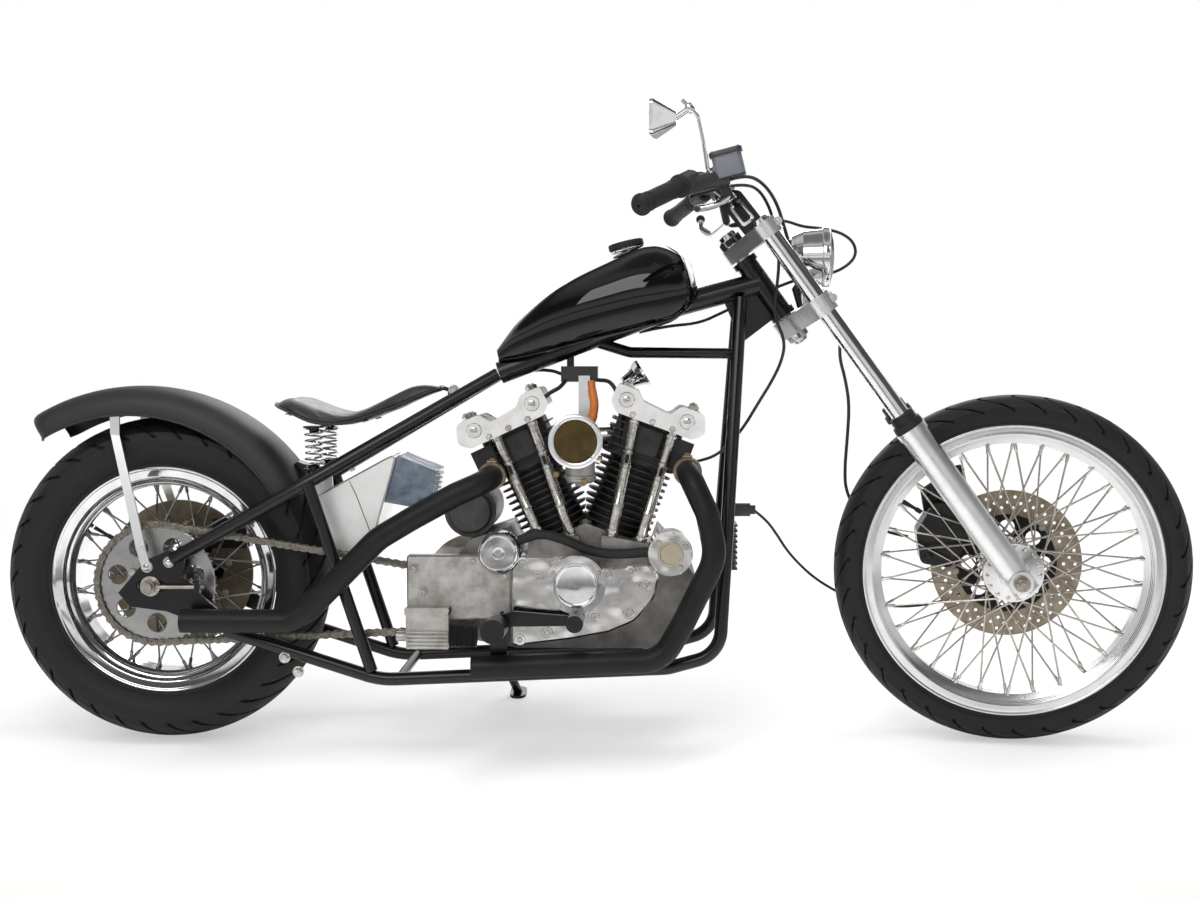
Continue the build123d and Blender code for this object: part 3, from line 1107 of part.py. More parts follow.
BRACKET_THICKNESS = 7.7
with BuildPart() as front_caliper:
    rounded_plate([(1478, 338), (1536, 330), (1574, 392), (1562, 464), (1500, 458), (1468, 400)], 14, 93, 39)
    with BuildSketch(Plane(origin=steer(0, LUG_LEFT - SEAT_GAP, 0), x_dir=STEM_AHEAD,
                           z_dir=(0, -1, 0))) as bracket:
        with Locations(*[(ahead, -LUG_UP) for ahead in LUGS]):
            Circle(LUG_RADIUS)
        with Locations((4, -LUG_UP - 76)):
            Circle(26)
        make_hull()
    extrude(bracket.sketch, amount=BRACKET_THICKNESS)
    turned(FRONT_AXLE, [(40, FRONT_DISC_Y - CALIPER_GAP), (DISC_RADIUS + 5, FRONT_DISC_Y - CALIPER_GAP),
                        (DISC_RADIUS + 5, FRONT_DISC_Y + CALIPER_GAP), (40, FRONT_DISC_Y + CALIPER_GAP)],
                        Mode.SUBTRACT)
    add(fork_sliders.part, mode=Mode.SUBTRACT)
    rod(leg(1, -FORK_LENGTH), leg(1, -SLIDER_TOP), SLIDER_RADIUS + SEAT_GAP, Mode.SUBTRACT)
front_caliper.part.label = "front_caliper"

# ------------------------------------------------------------------ cables, hose and small electrics
CABLE_RADIUS = 3
HOSE_RADIUS = 9


def parked_steer(ahead, left, up):
    """A place given along the steering stem, with the bars turned as they are parked."""
    turn = radians(-PARKED_STEER)
    return steer(ahead * cos(turn) - left * sin(turn), ahead * sin(turn) + left * cos(turn), up)


# columns: ahead, left and up the steering stem
BRAKE_LINE = [
    (66, -190, 128), (96, -150, 120), (113, -104, 92), (113, -84, 50), (98, -76, 4), (82, -71, -42),
    (80, -69, -96),
    (87, -66, -142), (86, -58, -186), (66, -30, -226), (40, 12, -262), (26, 44, -304), (3, 60, -353),
    (-39, 61, -406),
    (-76, 61, -450), (-104, 62, -492), (-110, 65, -548), (-92, 70, -604), (-56, 72, -640)]
# a cable from the bars to the front head, and the clutch cable from its lever to its place under the tank
ENGINE_CABLE = [(-6, -227, 142), (36, -190, 130), (78, -140, 112), (100, -90, 92), (98, -58, 50),
                (80, -48, 4),
                (56, -46, -40), (22, -48, -80), (-14, -50, -118), (-24, -48, -172), (-52, -42, -200),
                (-92, -34, -222)]
ENGINE_CABLE_FRAME = [(1157, -30, 668), (1121, -26, 606), (1078, -22, 560), (1034, -20, 546)]
CLUTCH_CABLE = [(14, 160, 75), (48, 152, 58), (86, 143, 38), (114, 124, 12), (130, 104, -14),
                (157, 90, -38), (184, 87, -68), (194, 86, -100),
                (180, 84, -126), (140, 79, -129), (100, 72, -112), (60, 64, -92), (16, 56, -80),
                (-28, 56, -72)]
CLUTCH_CABLE_FRAME = [(1090, 58, 838), (1042, 44, 815)]
WHEEL_CABLE_FRAME = [(1146, -5, 452), (1170, 2, 434), (1194, 14, 402), (1218, 30, 364), (1262, 54, 318),
                     (1307, 76, 286),
                     (1356, 82, 262), (1410, 84, 250), (1468, 86, 247), (1527, 86, 256), (1578, 84, 276)]

with BuildPart() as front_brake_line:
    cord([steer(*place) for place in BRAKE_LINE], CABLE_RADIUS)
    add(hand_controls.part, mode=Mode.SUBTRACT)
    add(front_caliper.part, mode=Mode.SUBTRACT)
front_brake_line.part.label = "front_brake_line"

with BuildPart() as bar_cables:
    fin_edge = Vector(75 + SEAT_GAP, -20, HEAD_FOOT + HEAD_FIN_PITCH + FIN_THICKNESS / 2)
    head_face = FRONT_BORE.from_local_coords(fin_edge)
    cord([parked_steer(*place) for place in ENGINE_CABLE] + ENGINE_CABLE_FRAME + [head_face], CABLE_RADIUS)
    under = [TANK_FOOT + TANK_ALONG * along - TANK_UP * (CABLE_RADIUS + 2) + Vector(0, 30, 0)
             for along in (330, 280)]
    cord([parked_steer(*place) for place in CLUTCH_CABLE] + CLUTCH_CABLE_FRAME + under, CABLE_RADIUS)
    add(fuel_tank.part, mode=Mode.SUBTRACT)
    add(cylinders.part, mode=Mode.SUBTRACT)
bar_cables.part.label = "bar_cables"

with BuildPart() as voltage_regulator:
    rod((1090, -CRADLE_HALF_WIDTH, 383), (1090, CRADLE_HALF_WIDTH, 383), 6)
    side_plate([(1092, 337), (1103, 337), (1103, 429), (1092, 429)], 38, -38)
    for fin in range(9):
        side_plate([(1102, 338 + fin * 10.5), (1114, 338 + fin * 10.5), (1114, 342 + fin * 10.5),
                    (1102, 342 + fin * 10.5)], 38, -38)
    side_plate([(1093, 420), (1103, 420), (1112, 462), (1104, 464)], 6, -16)
    rod((1106, -5, 452), (1140, -5, 452), 13)
    rod((1140, -5, 452), (1150, -5, 452), 9)
    add(frame_cradles.part, mode=Mode.SUBTRACT)
voltage_regulator.part.label = "voltage_regulator"

with BuildPart() as wheel_cable:
    boss_rear = parked_steer(TREE_OFFSET - AXLE_BOSS_RADIUS - 2 * SEAT_GAP, 86, -FORK_LENGTH)
    cord(WHEEL_CABLE_FRAME + [boss_rear], CABLE_RADIUS)
    add(voltage_regulator.part, mode=Mode.SUBTRACT)
wheel_cable.part.label = "wheel_cable"

with BuildPart() as engine_hose:
    cord([(697, -118, 404), (740, -119, 419), (786, -119, 406), (826, -119, 387), (866, -119, 379),
          (906, -119, 380),
          (945, -119, 384)], HOSE_RADIUS)
    add(gearcase_cover.part, mode=Mode.SUBTRACT)
    add(oil_filter.part, mode=Mode.SUBTRACT)
engine_hose.part.label = "engine_hose"

HORN = Vector(893, 92, 694)
HORN_TILT = 32
with BuildPart() as horn:
    along = Vector(cos(radians(HORN_TILT)), 0, sin(radians(HORN_TILT)))
    with BuildSketch(Plane(origin=HORN, x_dir=along, z_dir=(0, -1, 0))) as section:
        with BuildLine():
            Polyline((0, 0), (0, 13), (4, 16), (18, 18), (30, 23), (42, 30), (47, 31), (47, 28), (41, 26),
                     (38, 0), close=True)
        make_face()
    revolve(section.sketch, Axis(HORN, along))
    rod((905, ROCKER_LEFT, 680), (905, HORN.Y, 690), 7)
    add(rocker_boxes.part, mode=Mode.SUBTRACT)
horn.part.label = "horn"

# ------------------------------------------------------------------ parked and written
STEERED = [
    fork_trees, fork_tubes, fork_sliders, fork_seals, front_axle, handlebar, grips, hand_controls,
    headlight, mirror,
    front_caliper, front_brake_line, front_tyre, front_rim, front_spokes, front_hub, front_disc]
UPRIGHT = [
    frame_backbone, frame_cradles, frame_stays, stand_bracket, rear_axle, fuel_tank, fuel_cap, seat,
    rear_fender,
    fender_struts, seat_springs, oil_tank, battery_box, coil_box, crankcase, gearcase_cover,
    sprocket_cover, oil_filter,
    primary_cover, starter_motor, cylinders, rocker_boxes, pushrod_tubes, carburettor, exhaust_pipes,
    master_cylinder,
    foot_controls, drive_chain, rear_caliper, side_stand, rear_tyre, rear_rim, rear_spokes, rear_hub,
    rear_disc,
    rear_sprocket, bar_cables, wheel_cable, engine_hose, voltage_regulator, horn]

parked = [as_parked(block.part, block in STEERED) for block in STEERED + UPRIGHT]
corners = [piece.bounding_box() for piece in parked]
lowest = min(box.min.Z for box in corners)
middle_x = (min(box.min.X for box in corners) + max(box.max.X for box in corners)) / 2
middle_y = (min(box.min.Y for box in corners) + max(box.max.Y for box in corners)) / 2
HOME = Location((-middle_x, -middle_y, -lowest))

os.makedirs("parts", exist_ok=True)
for piece in parked:
    home = piece.moved(HOME)
    home.label = piece.label
    export_step(home, f"parts/{piece.label}.step")
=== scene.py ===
"""Looks for the hardtail chopper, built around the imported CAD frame.

Places are written in the machine's own frame, in millimetres: X forward from the rear axle, Y to the rider's
left and Z up from the ground, with the machine upright and its wheels in line.  UPRIGHT and STEERED carry
them into the frame that the machine is packed in, leaning on its stand with its bars a little to the right.
"""
import math

import bmesh
import bpy
from mathutils import Matrix, Vector
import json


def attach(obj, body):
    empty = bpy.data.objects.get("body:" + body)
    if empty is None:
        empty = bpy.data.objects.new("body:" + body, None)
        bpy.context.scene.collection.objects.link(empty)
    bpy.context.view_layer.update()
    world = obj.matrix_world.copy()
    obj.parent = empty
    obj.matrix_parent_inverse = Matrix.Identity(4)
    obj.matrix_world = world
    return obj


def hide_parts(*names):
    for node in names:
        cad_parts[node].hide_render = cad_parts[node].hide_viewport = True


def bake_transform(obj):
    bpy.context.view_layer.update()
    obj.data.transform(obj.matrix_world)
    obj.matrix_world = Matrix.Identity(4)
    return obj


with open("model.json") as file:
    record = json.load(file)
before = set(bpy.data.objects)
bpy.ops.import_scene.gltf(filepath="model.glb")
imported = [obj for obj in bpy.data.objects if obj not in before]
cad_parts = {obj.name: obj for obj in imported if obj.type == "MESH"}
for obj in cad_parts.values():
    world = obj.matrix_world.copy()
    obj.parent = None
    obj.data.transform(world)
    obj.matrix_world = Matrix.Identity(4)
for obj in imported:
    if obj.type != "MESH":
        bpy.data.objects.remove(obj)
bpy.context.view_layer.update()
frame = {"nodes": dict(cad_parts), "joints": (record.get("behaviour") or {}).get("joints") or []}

# ------------------------------------------------------------------ the machine's own frame
MM = 0.001
LEAN = math.radians(8)
PARKED_STEER = math.radians(6.4)
RAKE = math.radians(36)
REAR_AXLE = Vector((0, 0, 316))
FRONT_AXLE = Vector((1645, 0, 339))
TREE_OFFSET = 70
FORK_LENGTH = 789
STEM_UP = Vector((-math.sin(RAKE), 0, math.cos(RAKE)))
STEM_AHEAD = Vector((math.cos(RAKE), 0, math.sin(RAKE)))
NECK_TOP = FRONT_AXLE - STEM_AHEAD * TREE_OFFSET + STEM_UP * FORK_LENGTH
AHEAD = Vector((1, 0, 0))
LEFT = Vector((0, 1, 0))
RIGHT = -LEFT
UP = Vector((0, 0, 1))
SIDES = (-1, 1)

joints = {joint["name"]: joint for joint in frame["joints"]}
packed_axle = Vector(joints["rear_wheel_spin"]["pos_m"])
UPRIGHT = (Matrix.Translation(packed_axle) @ Matrix.Rotation(-LEAN, 4, "X")
           @ Matrix.Diagonal((MM, MM, MM, 1)) @ Matrix.Translation(-REAR_AXLE))
STEERED = (UPRIGHT @ Matrix.Translation(NECK_TOP) @ Matrix.Rotation(-PARKED_STEER, 4, STEM_UP)
           @ Matrix.Translation(-NECK_TOP))


def steer(ahead, left, up):
    """A place given ahead of, to the left of and up the steering stem."""
    return NECK_TOP + STEM_AHEAD * ahead + LEFT * left + STEM_UP * up


# ------------------------------------------------------------------ materials
def node(tree, kind, **values):
    """A shader node with its settings and its unlinked inputs' values; _ stands for a space in a name."""
    made = tree.nodes.new(kind)
    for name, value in values.items():
        if hasattr(made, name):
            setattr(made, name, value)
        else:
            made.inputs[name.replace("_", " ")].default_value = value
    return made


def wire(start, output, end, entry):
    """Link one shader node's output to another's input."""
    start.id_data.links.new(start.outputs[output], end.inputs[entry])


def rgb(colour):
    """A colour, or a grey given as one number, as a shader wants it."""
    return (*((colour,) * 3 if isinstance(colour, float) else colour), 1.0)


def finish(name, base, tint, metallic, rough, cloud, grain=0.001, height=0.0002, coat=0.0, sheen=0.0,
           contrast=0.5, shine=0.5, wave=0.0):
    """A material whose colour drifts from base to tint over clouds, with a fine grain in its bump.

    cloud, grain, height and wave are in metres.  rough is the roughness where the cloud is thin and where it
    is thick, shine the strength of a painted face's mirror, and wave the depth of a polished face's swells.
    """
    made = bpy.data.materials.new(name)
    made.use_nodes = True
    tree = made.node_tree
    shader = tree.nodes["Principled BSDF"]
    for entry, value in (("Metallic", metallic), ("Coat Weight", coat), ("Coat Roughness", 0.04),
                         ("Sheen Weight", sheen), ("Specular IOR Level", shine)):
        shader.inputs[entry].default_value = value
    place = node(tree, "ShaderNodeTexCoord")
    clouds = node(tree, "ShaderNodeTexNoise", Scale=1 / cloud, Detail=5.0, Roughness=0.6)
    spread = node(tree, "ShaderNodeMapRange", From_Min=0.5 - contrast / 2, From_Max=0.5 + contrast / 2)
    mix = node(tree, "ShaderNodeMix", data_type="RGBA", A=rgb(base), B=rgb(tint))
    gloss = node(tree, "ShaderNodeMapRange", To_Min=rough[0], To_Max=rough[1])
    grains = node(tree, "ShaderNodeTexNoise", Scale=1 / grain, Detail=3.0)
    bump = node(tree, "ShaderNodeBump", Strength=0.6, Distance=height)
    wire(place, "Object", clouds, "Vector")
    wire(clouds, "Fac", spread, "Value")
    wire(spread, "Result", mix, "Factor")
    wire(mix, "Result", shader, "Base Color")
    wire(spread, "Result", gloss, "Value")
    wire(gloss, "Result", shader, "Roughness")
    wire(place, "Object", grains, "Vector")
    wire(grains, "Fac", bump, "Height")
    wire(bump, "Normal", shader, "Normal")
    if wave:
        swells = node(tree, "ShaderNodeTexNoise", Scale=1 / SWELL_SIZE, Detail=1.0)
        swell = node(tree, "ShaderNodeBump", Strength=1.0, Distance=wave)
        wire(place, "Object", swells, "Vector")
        wire(swells, "Fac", swell, "Height")
        wire(swell, "Normal", bump, "Normal")
    return made


SWELL_SIZE = 0.045
# columns: colour and the one it drifts to, or greys; how metallic; roughness from and to; cloud size; more
FINISHES = {
    "satin_black": (0.003, 0.006, 0.0, (0.16, 0.28), 0.2, dict(shine=0.4)),
    "gloss_black": ((0.0015, 0.0015, 0.002), (0.002, 0.002, 0.0025), 0.0, (0.03, 0.05), 0.1,
                    dict(shine=0.45, grain=0.004, height=0.00001)),
    "fender_black": ((0.012, 0.0125, 0.0135), (0.018, 0.0185, 0.0195), 0.0, (0.48, 0.56), 0.12,
                     dict(shine=0.4)),
    "exhaust_black": ((0.004, 0.004, 0.0045), (0.009, 0.009, 0.0085), 0.0, (0.36, 0.5), 0.06,
                      dict(shine=0.25)),
    "fin_black": (0.007, (0.018, 0.017, 0.016), 0.0, (0.45, 0.65), 0.02, dict(grain=0.0007)),
    "chrome": ((0.8, 0.8, 0.81), (0.62, 0.61, 0.59), 1.0, (0.03, 0.1), 0.03,
               dict(height=0.00002, wave=0.0004)),
    "worn_chrome": ((0.78, 0.77, 0.74), (0.36, 0.33, 0.28), 1.0, (0.08, 0.34), 0.008,
                    dict(grain=0.0016, height=0.00015, contrast=0.35)),
    "polished_aluminium": ((0.88, 0.87, 0.85), (0.74, 0.72, 0.68), 1.0, (0.06, 0.16), 0.035,
                           dict(grain=0.0025, height=0.00004, wave=0.0013)),
    "cast_aluminium": ((0.56, 0.55, 0.53), (0.26, 0.24, 0.21), 0.9, (0.36, 0.58), 0.03,
                       dict(grain=0.0012, height=0.00025)),
    "fork_aluminium": (0.8, (0.68, 0.68, 0.67), 1.0, (0.24, 0.34), 0.05, dict(grain=0.0008, height=0.00004)),
    "steel": ((0.46, 0.43, 0.39), (0.24, 0.2, 0.16), 1.0, (0.3, 0.5), 0.012,
              dict(grain=0.001, height=0.00012)),
    "spoke_steel": ((0.52, 0.49, 0.45), (0.34, 0.31, 0.27), 1.0, (0.16, 0.3), 0.03, dict()),
    "dark_chrome": ((0.26, 0.27, 0.27), 0.14, 1.0, (0.15, 0.3), 0.03, dict()),
    "rim_aluminium": (0.7, (0.6, 0.6, 0.59), 1.0, (0.14, 0.24), 0.05, dict(wave=0.0004)),
    "tree_aluminium": (0.72, (0.6, 0.6, 0.59), 0.95, (0.3, 0.42), 0.04, dict()),
    "white_satin": ((0.88, 0.88, 0.87), (0.76, 0.75, 0.72), 0.9, (0.34, 0.5), 0.05,
                    dict(grain=0.0008, height=0.00003)),
    # the crankcase's cast finish is darker than cast aluminium: painted shade, for the shadow that falls on
    # it behind the exhaust
    "shade_darkened_case_cast": ((0.34, 0.33, 0.31), (0.13, 0.12, 0.11), 0.85, (0.36, 0.58), 0.04,
                  dict(grain=0.0012, height=0.0002)),
    "plate_steel": ((0.42, 0.42, 0.41), (0.3, 0.3, 0.29), 1.0, (0.2, 0.32), 0.05, dict(wave=0.0008)),
    "rear_disc_iron": ((0.2, 0.17, 0.12), (0.11, 0.09, 0.06), 1.0, (0.25, 0.42), 0.03, dict()),
    "blue_chrome": ((0.1, 0.13, 0.17), (0.28, 0.33, 0.38), 1.0, (0.05, 0.2), 0.02, dict(wave=0.002)),
    "dark_cast": (0.09, (0.05, 0.045, 0.04), 0.6, (0.35, 0.55), 0.03, dict()),
    "disc_iron": ((0.4, 0.35, 0.27), (0.22, 0.17, 0.11), 1.0, (0.28, 0.5), 0.03,
                  dict(grain=0.0008, height=0.00005)),
    "chain_steel": ((0.27, 0.25, 0.22), (0.1, 0.09, 0.07), 0.9, (0.35, 0.6), 0.006, dict()),
    "tyre": (0.0075, (0.014, 0.014, 0.0135), 0.0, (0.45, 0.62), 0.05, dict(grain=0.0012, shine=0.25)),
    "rubber": (0.008, 0.016, 0.0, (0.5, 0.66), 0.02, dict(shine=0.3)),
    "leather": ((0.009, 0.009, 0.01), (0.018, 0.018, 0.019), 0.0, (0.34, 0.5), 0.03,
                dict(grain=0.0022, height=0.0004, sheen=0.1)),
    "black_plastic": ((0.016, 0.016, 0.017), 0.026, 0.0, (0.35, 0.5), 0.03, dict()),
    "champagne": ((0.62, 0.55, 0.42), (0.48, 0.42, 0.32), 1.0, (0.18, 0.3), 0.02, dict()),
    "brass": ((0.42, 0.3, 0.13), (0.22, 0.15, 0.07), 0.9, (0.3, 0.5), 0.02, dict()),
    # the carburettor throat's brass is far darker than old brass: painted shade for the shadow deep in the
    # bore
    "throat_brass": ((0.1, 0.065, 0.02), (0.035, 0.022, 0.008), 0.7, (0.22, 0.4), 0.03, dict()),
    "old_brass": ((0.26, 0.19, 0.09), (0.12, 0.09, 0.05), 0.8, (0.4, 0.6), 0.012, dict()),
    "old_steel": ((0.36, 0.3, 0.22), (0.16, 0.12, 0.08), 0.9, (0.35, 0.55), 0.012, dict()),
    "orange_rubber": ((0.55, 0.16, 0.02), (0.42, 0.11, 0.02), 0.0, (0.4, 0.5), 0.02, dict()),
    "grey_plastic": ((0.1, 0.11, 0.13), (0.14, 0.15, 0.17), 0.0, (0.3, 0.4), 0.03, dict()),
    "dark_lid": ((0.018, 0.019, 0.022), (0.03, 0.03, 0.034), 0.0, (0.3, 0.42), 0.03, dict()),
    "mirror_glass": ((0.86, 0.87, 0.88), (0.84, 0.85, 0.86), 1.0, (0.015, 0.02), 0.2,
                     dict(grain=0.01, height=0.000001)),
    "glass_dark": (0.02, 0.03, 0.0, (0.05, 0.08), 0.1, dict(coat=1.0)),
    "cable_black": (0.006, 0.012, 0.0, (0.35, 0.5), 0.03, dict()),
    "clear_glass": ((0.98, 0.99, 1.0), (0.96, 0.98, 1.0), 0.0, (0.01, 0.02), 0.2,
                    dict(grain=0.01, height=0.000001)),
}
material = {name: finish(name, *columns, **more) for name, (*columns, more) in FINISHES.items()}
material["clear_glass"].node_tree.nodes["Principled BSDF"].inputs["Transmission Weight"].default_value = 1.0

# ------------------------------------------------------------------ carried-over CAD nodes
NODES_BY_FINISH = {
    "satin_black": ("frame_backbone frame_stays frame_cradles frame_crossmembers foot_controls rear_caliper "
                    "side_stand handlebar front_caliper"),
    "chrome": "seat_springs oil_filter rear_rim rear_hub front_hub fork_tubes headlight mirror horn",
    "rubber": "fuel_cap grips fork_seals engine_hose",
    "fork_aluminium": "fender_struts carburettor fork_sliders",
    "black_plastic": "coil_box hand_controls voltage_regulator",
    "polished_aluminium": "gearcase_cover primary_cover rocker_boxes",
    "cable_black": "bar_cables wheel_cable front_brake_line",
    "steel": "rear_axle front_axle",
    "cast_aluminium": "sprocket_cover rear_master_cylinder",
    "tyre": "rear_tyre front_tyre",
    "disc_iron": "rear_disc front_disc",
    "gloss_black": "fuel_tank",
    "leather": "seat",
    "fender_black": "rear_fender",
    "white_satin": "oil_tank",
    "blue_chrome": "battery_box",
    # the crankcase takes the cast finish darkened as painted shade
    "shade_darkened_case_cast": "crankcase",
    "dark_cast": "starter_motor",
    "fin_black": "cylinders",
    "worn_chrome": "pushrod_tubes",
    "exhaust_black": "exhaust_pipes",
    "chain_steel": "drive_chain",
    "rim_aluminium": "front_rim",
    "dark_chrome": "rear_spokes",
    "spoke_steel": "front_spokes",
    "plate_steel": "rear_sprocket",
    "tree_aluminium": "fork_trees",
}
for finish_name, names in NODES_BY_FINISH.items():
    for name in names.split():
        cad = frame["nodes"][name].data
        cad.materials.clear()
        cad.materials.append(material[finish_name])
        cad.polygons.foreach_set("use_smooth", [True] * len(cad.polygons))
        cad.set_sharp_from_angle(angle=math.radians(28))

# ------------------------------------------------------------------ meshes
def basis(axis):
    """Two unit vectors square to axis and to each other."""
    axis = axis.normalized()
    first = axis.cross(UP if abs(axis.z) < 0.9 else AHEAD).normalized()
    return first, axis.cross(first)


def circle(radius, steps, first=0.0, a=0.0, b=0.0):
    """Evenly spaced places round a circle about (a, b), from an angle in degrees."""
    angles = [math.radians(first) + math.tau * step / steps for step in range(steps)]
    return [(a + radius * math.cos(angle), b + radius * math.sin(angle)) for angle in angles]


def easing(t, low, high, lean_in, lean_out):
    """A smooth value between low and high with the given slopes at its ends."""
    return ((2 * t ** 3 - 3 * t ** 2 + 1) * low + (t ** 3 - 2 * t ** 2 + t) * lean_in
            + (3 * t ** 2 - 2 * t ** 3) * high + (t ** 3 - t ** 2) * lean_out)


def between(table, x, column=1):
    """The value in a column of a table at x, its first column, along smooth curves."""
    if x <= table[0][0]:
        return table[0][column]
    for index in range(len(table) - 1):
        near, far = table[index], table[index + 1]
        if x <= far[0]:
            before, after = table[max(0, index - 1)], table[min(len(table) - 1, index + 2)]
            span = far[0] - near[0]
            return easing((x - near[0]) / span, near[column], far[column],
                          (far[column] - before[column]) / (far[0] - before[0]) * span,
                          (after[column] - near[column]) / (after[0] - near[0]) * span)
    return table[-1][column]


def swept(points, steps=6):
    """A smooth line of places through the given ones."""
    places = [Vector(point) for point in points]
    ends = [2 * places[0] - places[1], *places, 2 * places[-1] - places[-2]]
    line = []
    for a, b, c, d in zip(ends, ends[1:], ends[2:], ends[3:]):
        for step in range(steps):
            t = step / steps
            line.append(0.5 * (2 * b + (c - a) * t + (2 * a - 5 * b + 4 * c - d) * t * t
                               + (3 * b - a - 3 * c + d) * t ** 3))
    return line + [places[-1]]


def rounded(corners, steps):
    """An outline whose corners (a, b, radius) are turned into arcs."""
    outline = []
    for index, (a, b, radius) in enumerate(corners):
        here = Vector((a, b))
        before = (Vector(corners[index - 1][:2]) - here).normalized()
        after = (Vector(corners[(index + 1) % len(corners)][:2]) - here).normalized()
        half = before.angle(after) / 2
        if radius == 0 or half > math.radians(89):
            outline.append((a, b))
            continue
        centre = here + (before + after).normalized() * (radius / math.sin(half))
        first = here + before * (radius / math.tan(half)) - centre
        last = here + after * (radius / math.tan(half)) - centre
        turn = math.atan2(first.x * last.y - first.y * last.x, first.dot(last))
        for step in range(steps + 1):
            angle = turn * step / steps
            outline.append((centre.x + first.x * math.cos(angle) - first.y * math.sin(angle),
                            centre.y + first.x * math.sin(angle) + first.y * math.cos(angle)))
    return outline


def pad(low_a, low_b, high_a, high_b, radius, steps=6):
    """A rectangle with round corners."""
    corners = ((low_a, low_b), (high_a, low_b), (high_a, high_b), (low_a, high_b))
    return rounded([(*corner, radius) for corner in corners], steps)


def inset(outline, amount):
    """The outline with every edge moved in by amount."""
    area = sum(a[0] * b[1] - b[0] * a[1] for a, b in zip(outline, outline[1:] + outline[:1]))
    turn = 1 if area > 0 else -1
    moved = []
    for before, here, after in zip(outline[-1:] + outline[:-1], outline, outline[1:] + outline[:1]):
        first = (Vector(here) - Vector(before)).normalized()
        last = (Vector(after) - Vector(here)).normalized()
        normal = Vector((-first.y - last.y, first.x + last.x)) * turn
        reach = amount / max(0.3, normal.length / 2)
        normal.normalize()
        moved.append((here[0] + normal.x * reach, here[1] + normal.y * reach))
    return moved


class Shape:
    """The faces of one piece, in millimetres in the machine's frame, each with its finish."""

    def __init__(self):
        self.points = []
        self.faces = []
        self.finishes = []

    def add(self, points, faces, finish):
        first = len(self.points)
        self.points += [tuple(point) for point in points]
        self.faces += [[first + corner for corner in face] for face in faces]
        self.finishes += [finish] * len(faces)

    def rings(self, rings, finish, closed=False):
        """Faces between rings of equally many points, the last joined to the first or both ends capped."""
        sides = len(rings[0])
        count = len(rings)
        faces = []
        for ring in range(count if closed else count - 1):
            near, far = ring * sides, (ring + 1) % count * sides
            for side in range(sides):
                other = (side + 1) % sides
                faces.append([near + side, near + other, far + other, far + side])
        if not closed:
            faces += [list(range(sides))[::-1], [(count - 1) * sides + side for side in range(sides)]]
        self.add([point for ring in rings for point in ring], faces, finish)

    def lathe(self, centre, axis, outline, finish, steps, closed=False):
        """A turned form: its outline gives (radius, distance along the axis)."""
        u, v = basis(Vector(axis))
        along = Vector(axis).normalized()
        spokes = [u * a + v * b for a, b in circle(1, steps)]
        self.rings([[Vector(centre) + along * height + spoke * max(radius, 0.01) for spoke in spokes]
                    for radius, height in outline], finish, closed=closed)

    def washer(self, place, axis, radius, thick, steps=24):
        """A plain disc standing on place."""
        self.lathe(place, axis, [(radius, 0), (radius, thick), (0, thick)], "worn_chrome", steps)

    def tube(self, path, radius, finish, sides):
        """A round bar of one radius, or of one for each place, along a line of places."""
        path = [Vector(point) for point in path]
        radii = radius if isinstance(radius, (list, tuple)) else [radius] * len(path)
        runs = [(after - before).normalized() for before, after in zip(path, path[1:])]
        heading = runs[0]
        u, v = basis(heading)
        rings = []
        for index, (place, size) in enumerate(zip(path, radii)):
            ahead = runs[min(index, len(runs) - 1)] + runs[max(index - 1, 0)]
            turn = heading.rotation_difference(ahead.normalized())
            heading = ahead.normalized()
            u, v = turn @ u, turn @ v
            rings.append([place + (u * a + v * b) * size for a, b in circle(1, sides)])
        self.rings(rings, finish)

    def plate(self, outline, origin, across, along, depth, finish, bevel=0.0, facing=None):
        """A flat piece: its (across, along) outline pushed by depth, its far edge bevelled.

        It is pushed along across x along or, where facing is given, to that side.
        """
        origin, across, along = Vector(origin), Vector(across).normalized(), Vector(along).normalized()
        normal = across.cross(along)
        if facing:
            depth = math.copysign(depth, normal.dot(facing))
        sign = math.copysign(1, depth)
        levels = [(outline, 0.0), (outline, depth - sign * bevel)]
        if bevel:
            levels += [(inset(outline, bevel * 0.3), depth - sign * bevel * 0.3),
                       (inset(outline, bevel), depth)]
        self.rings([[origin + across * a + along * b + normal * level for a, b in shape]
                    for shape, level in levels], finish)

    def bolt(self, place, axis, radius, tall, finish="worn_chrome", socket=True, steps=20):
        """A cap head standing on place, with its socket, or a plain domed head."""
        profile = ((1, 0), (1, 0.8), (0.85, 1), (0.5, 1), (0.5, 0.3), (0, 0.3))
        if not socket:
            profile = ((1, 0), (0.95, 0.45), (0.7, 0.8), (0.35, 0.97), (0, 1))
        self.lathe(place, axis, [(radius * across, tall * up) for across, up in profile], finish, steps)

    def nut(self, place, axis, radius, tall, finish="worn_chrome"):
        """A hexagon head or nut standing on place."""
        self.lathe(place, axis, [(radius, 0), (radius, tall * 0.85), (radius * 0.85, tall), (0, tall)],
                   finish, 6)

    def make(self, name, body, slot, place=UPRIGHT, sharp=32, replaces=()):
        """The finished object, riding on its body."""
        mesh = bpy.data.meshes.new(name)
        mesh.from_pydata(self.points, [], self.faces)
        used = sorted(set(self.finishes))
        for finish_name in used:
            mesh.materials.append(material[finish_name])
        mesh.polygons.foreach_set("material_index", [used.index(name) for name in self.finishes])
        mesh.polygons.foreach_set("use_smooth", [True] * len(mesh.polygons))
        mesh.transform(place)
        tidy = bmesh.new()
        tidy.from_mesh(mesh)
        bmesh.ops.recalc_face_normals(tidy, faces=tidy.faces)
        tidy.to_mesh(mesh)
        tidy.free()
        mesh.set_sharp_from_angle(angle=math.radians(sharp))
        made = bpy.data.objects.new(name, mesh)
        bpy.context.collection.objects.link(made)
        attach(made, body)
        for cad_node in replaces:
            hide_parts(cad_node)
        return made


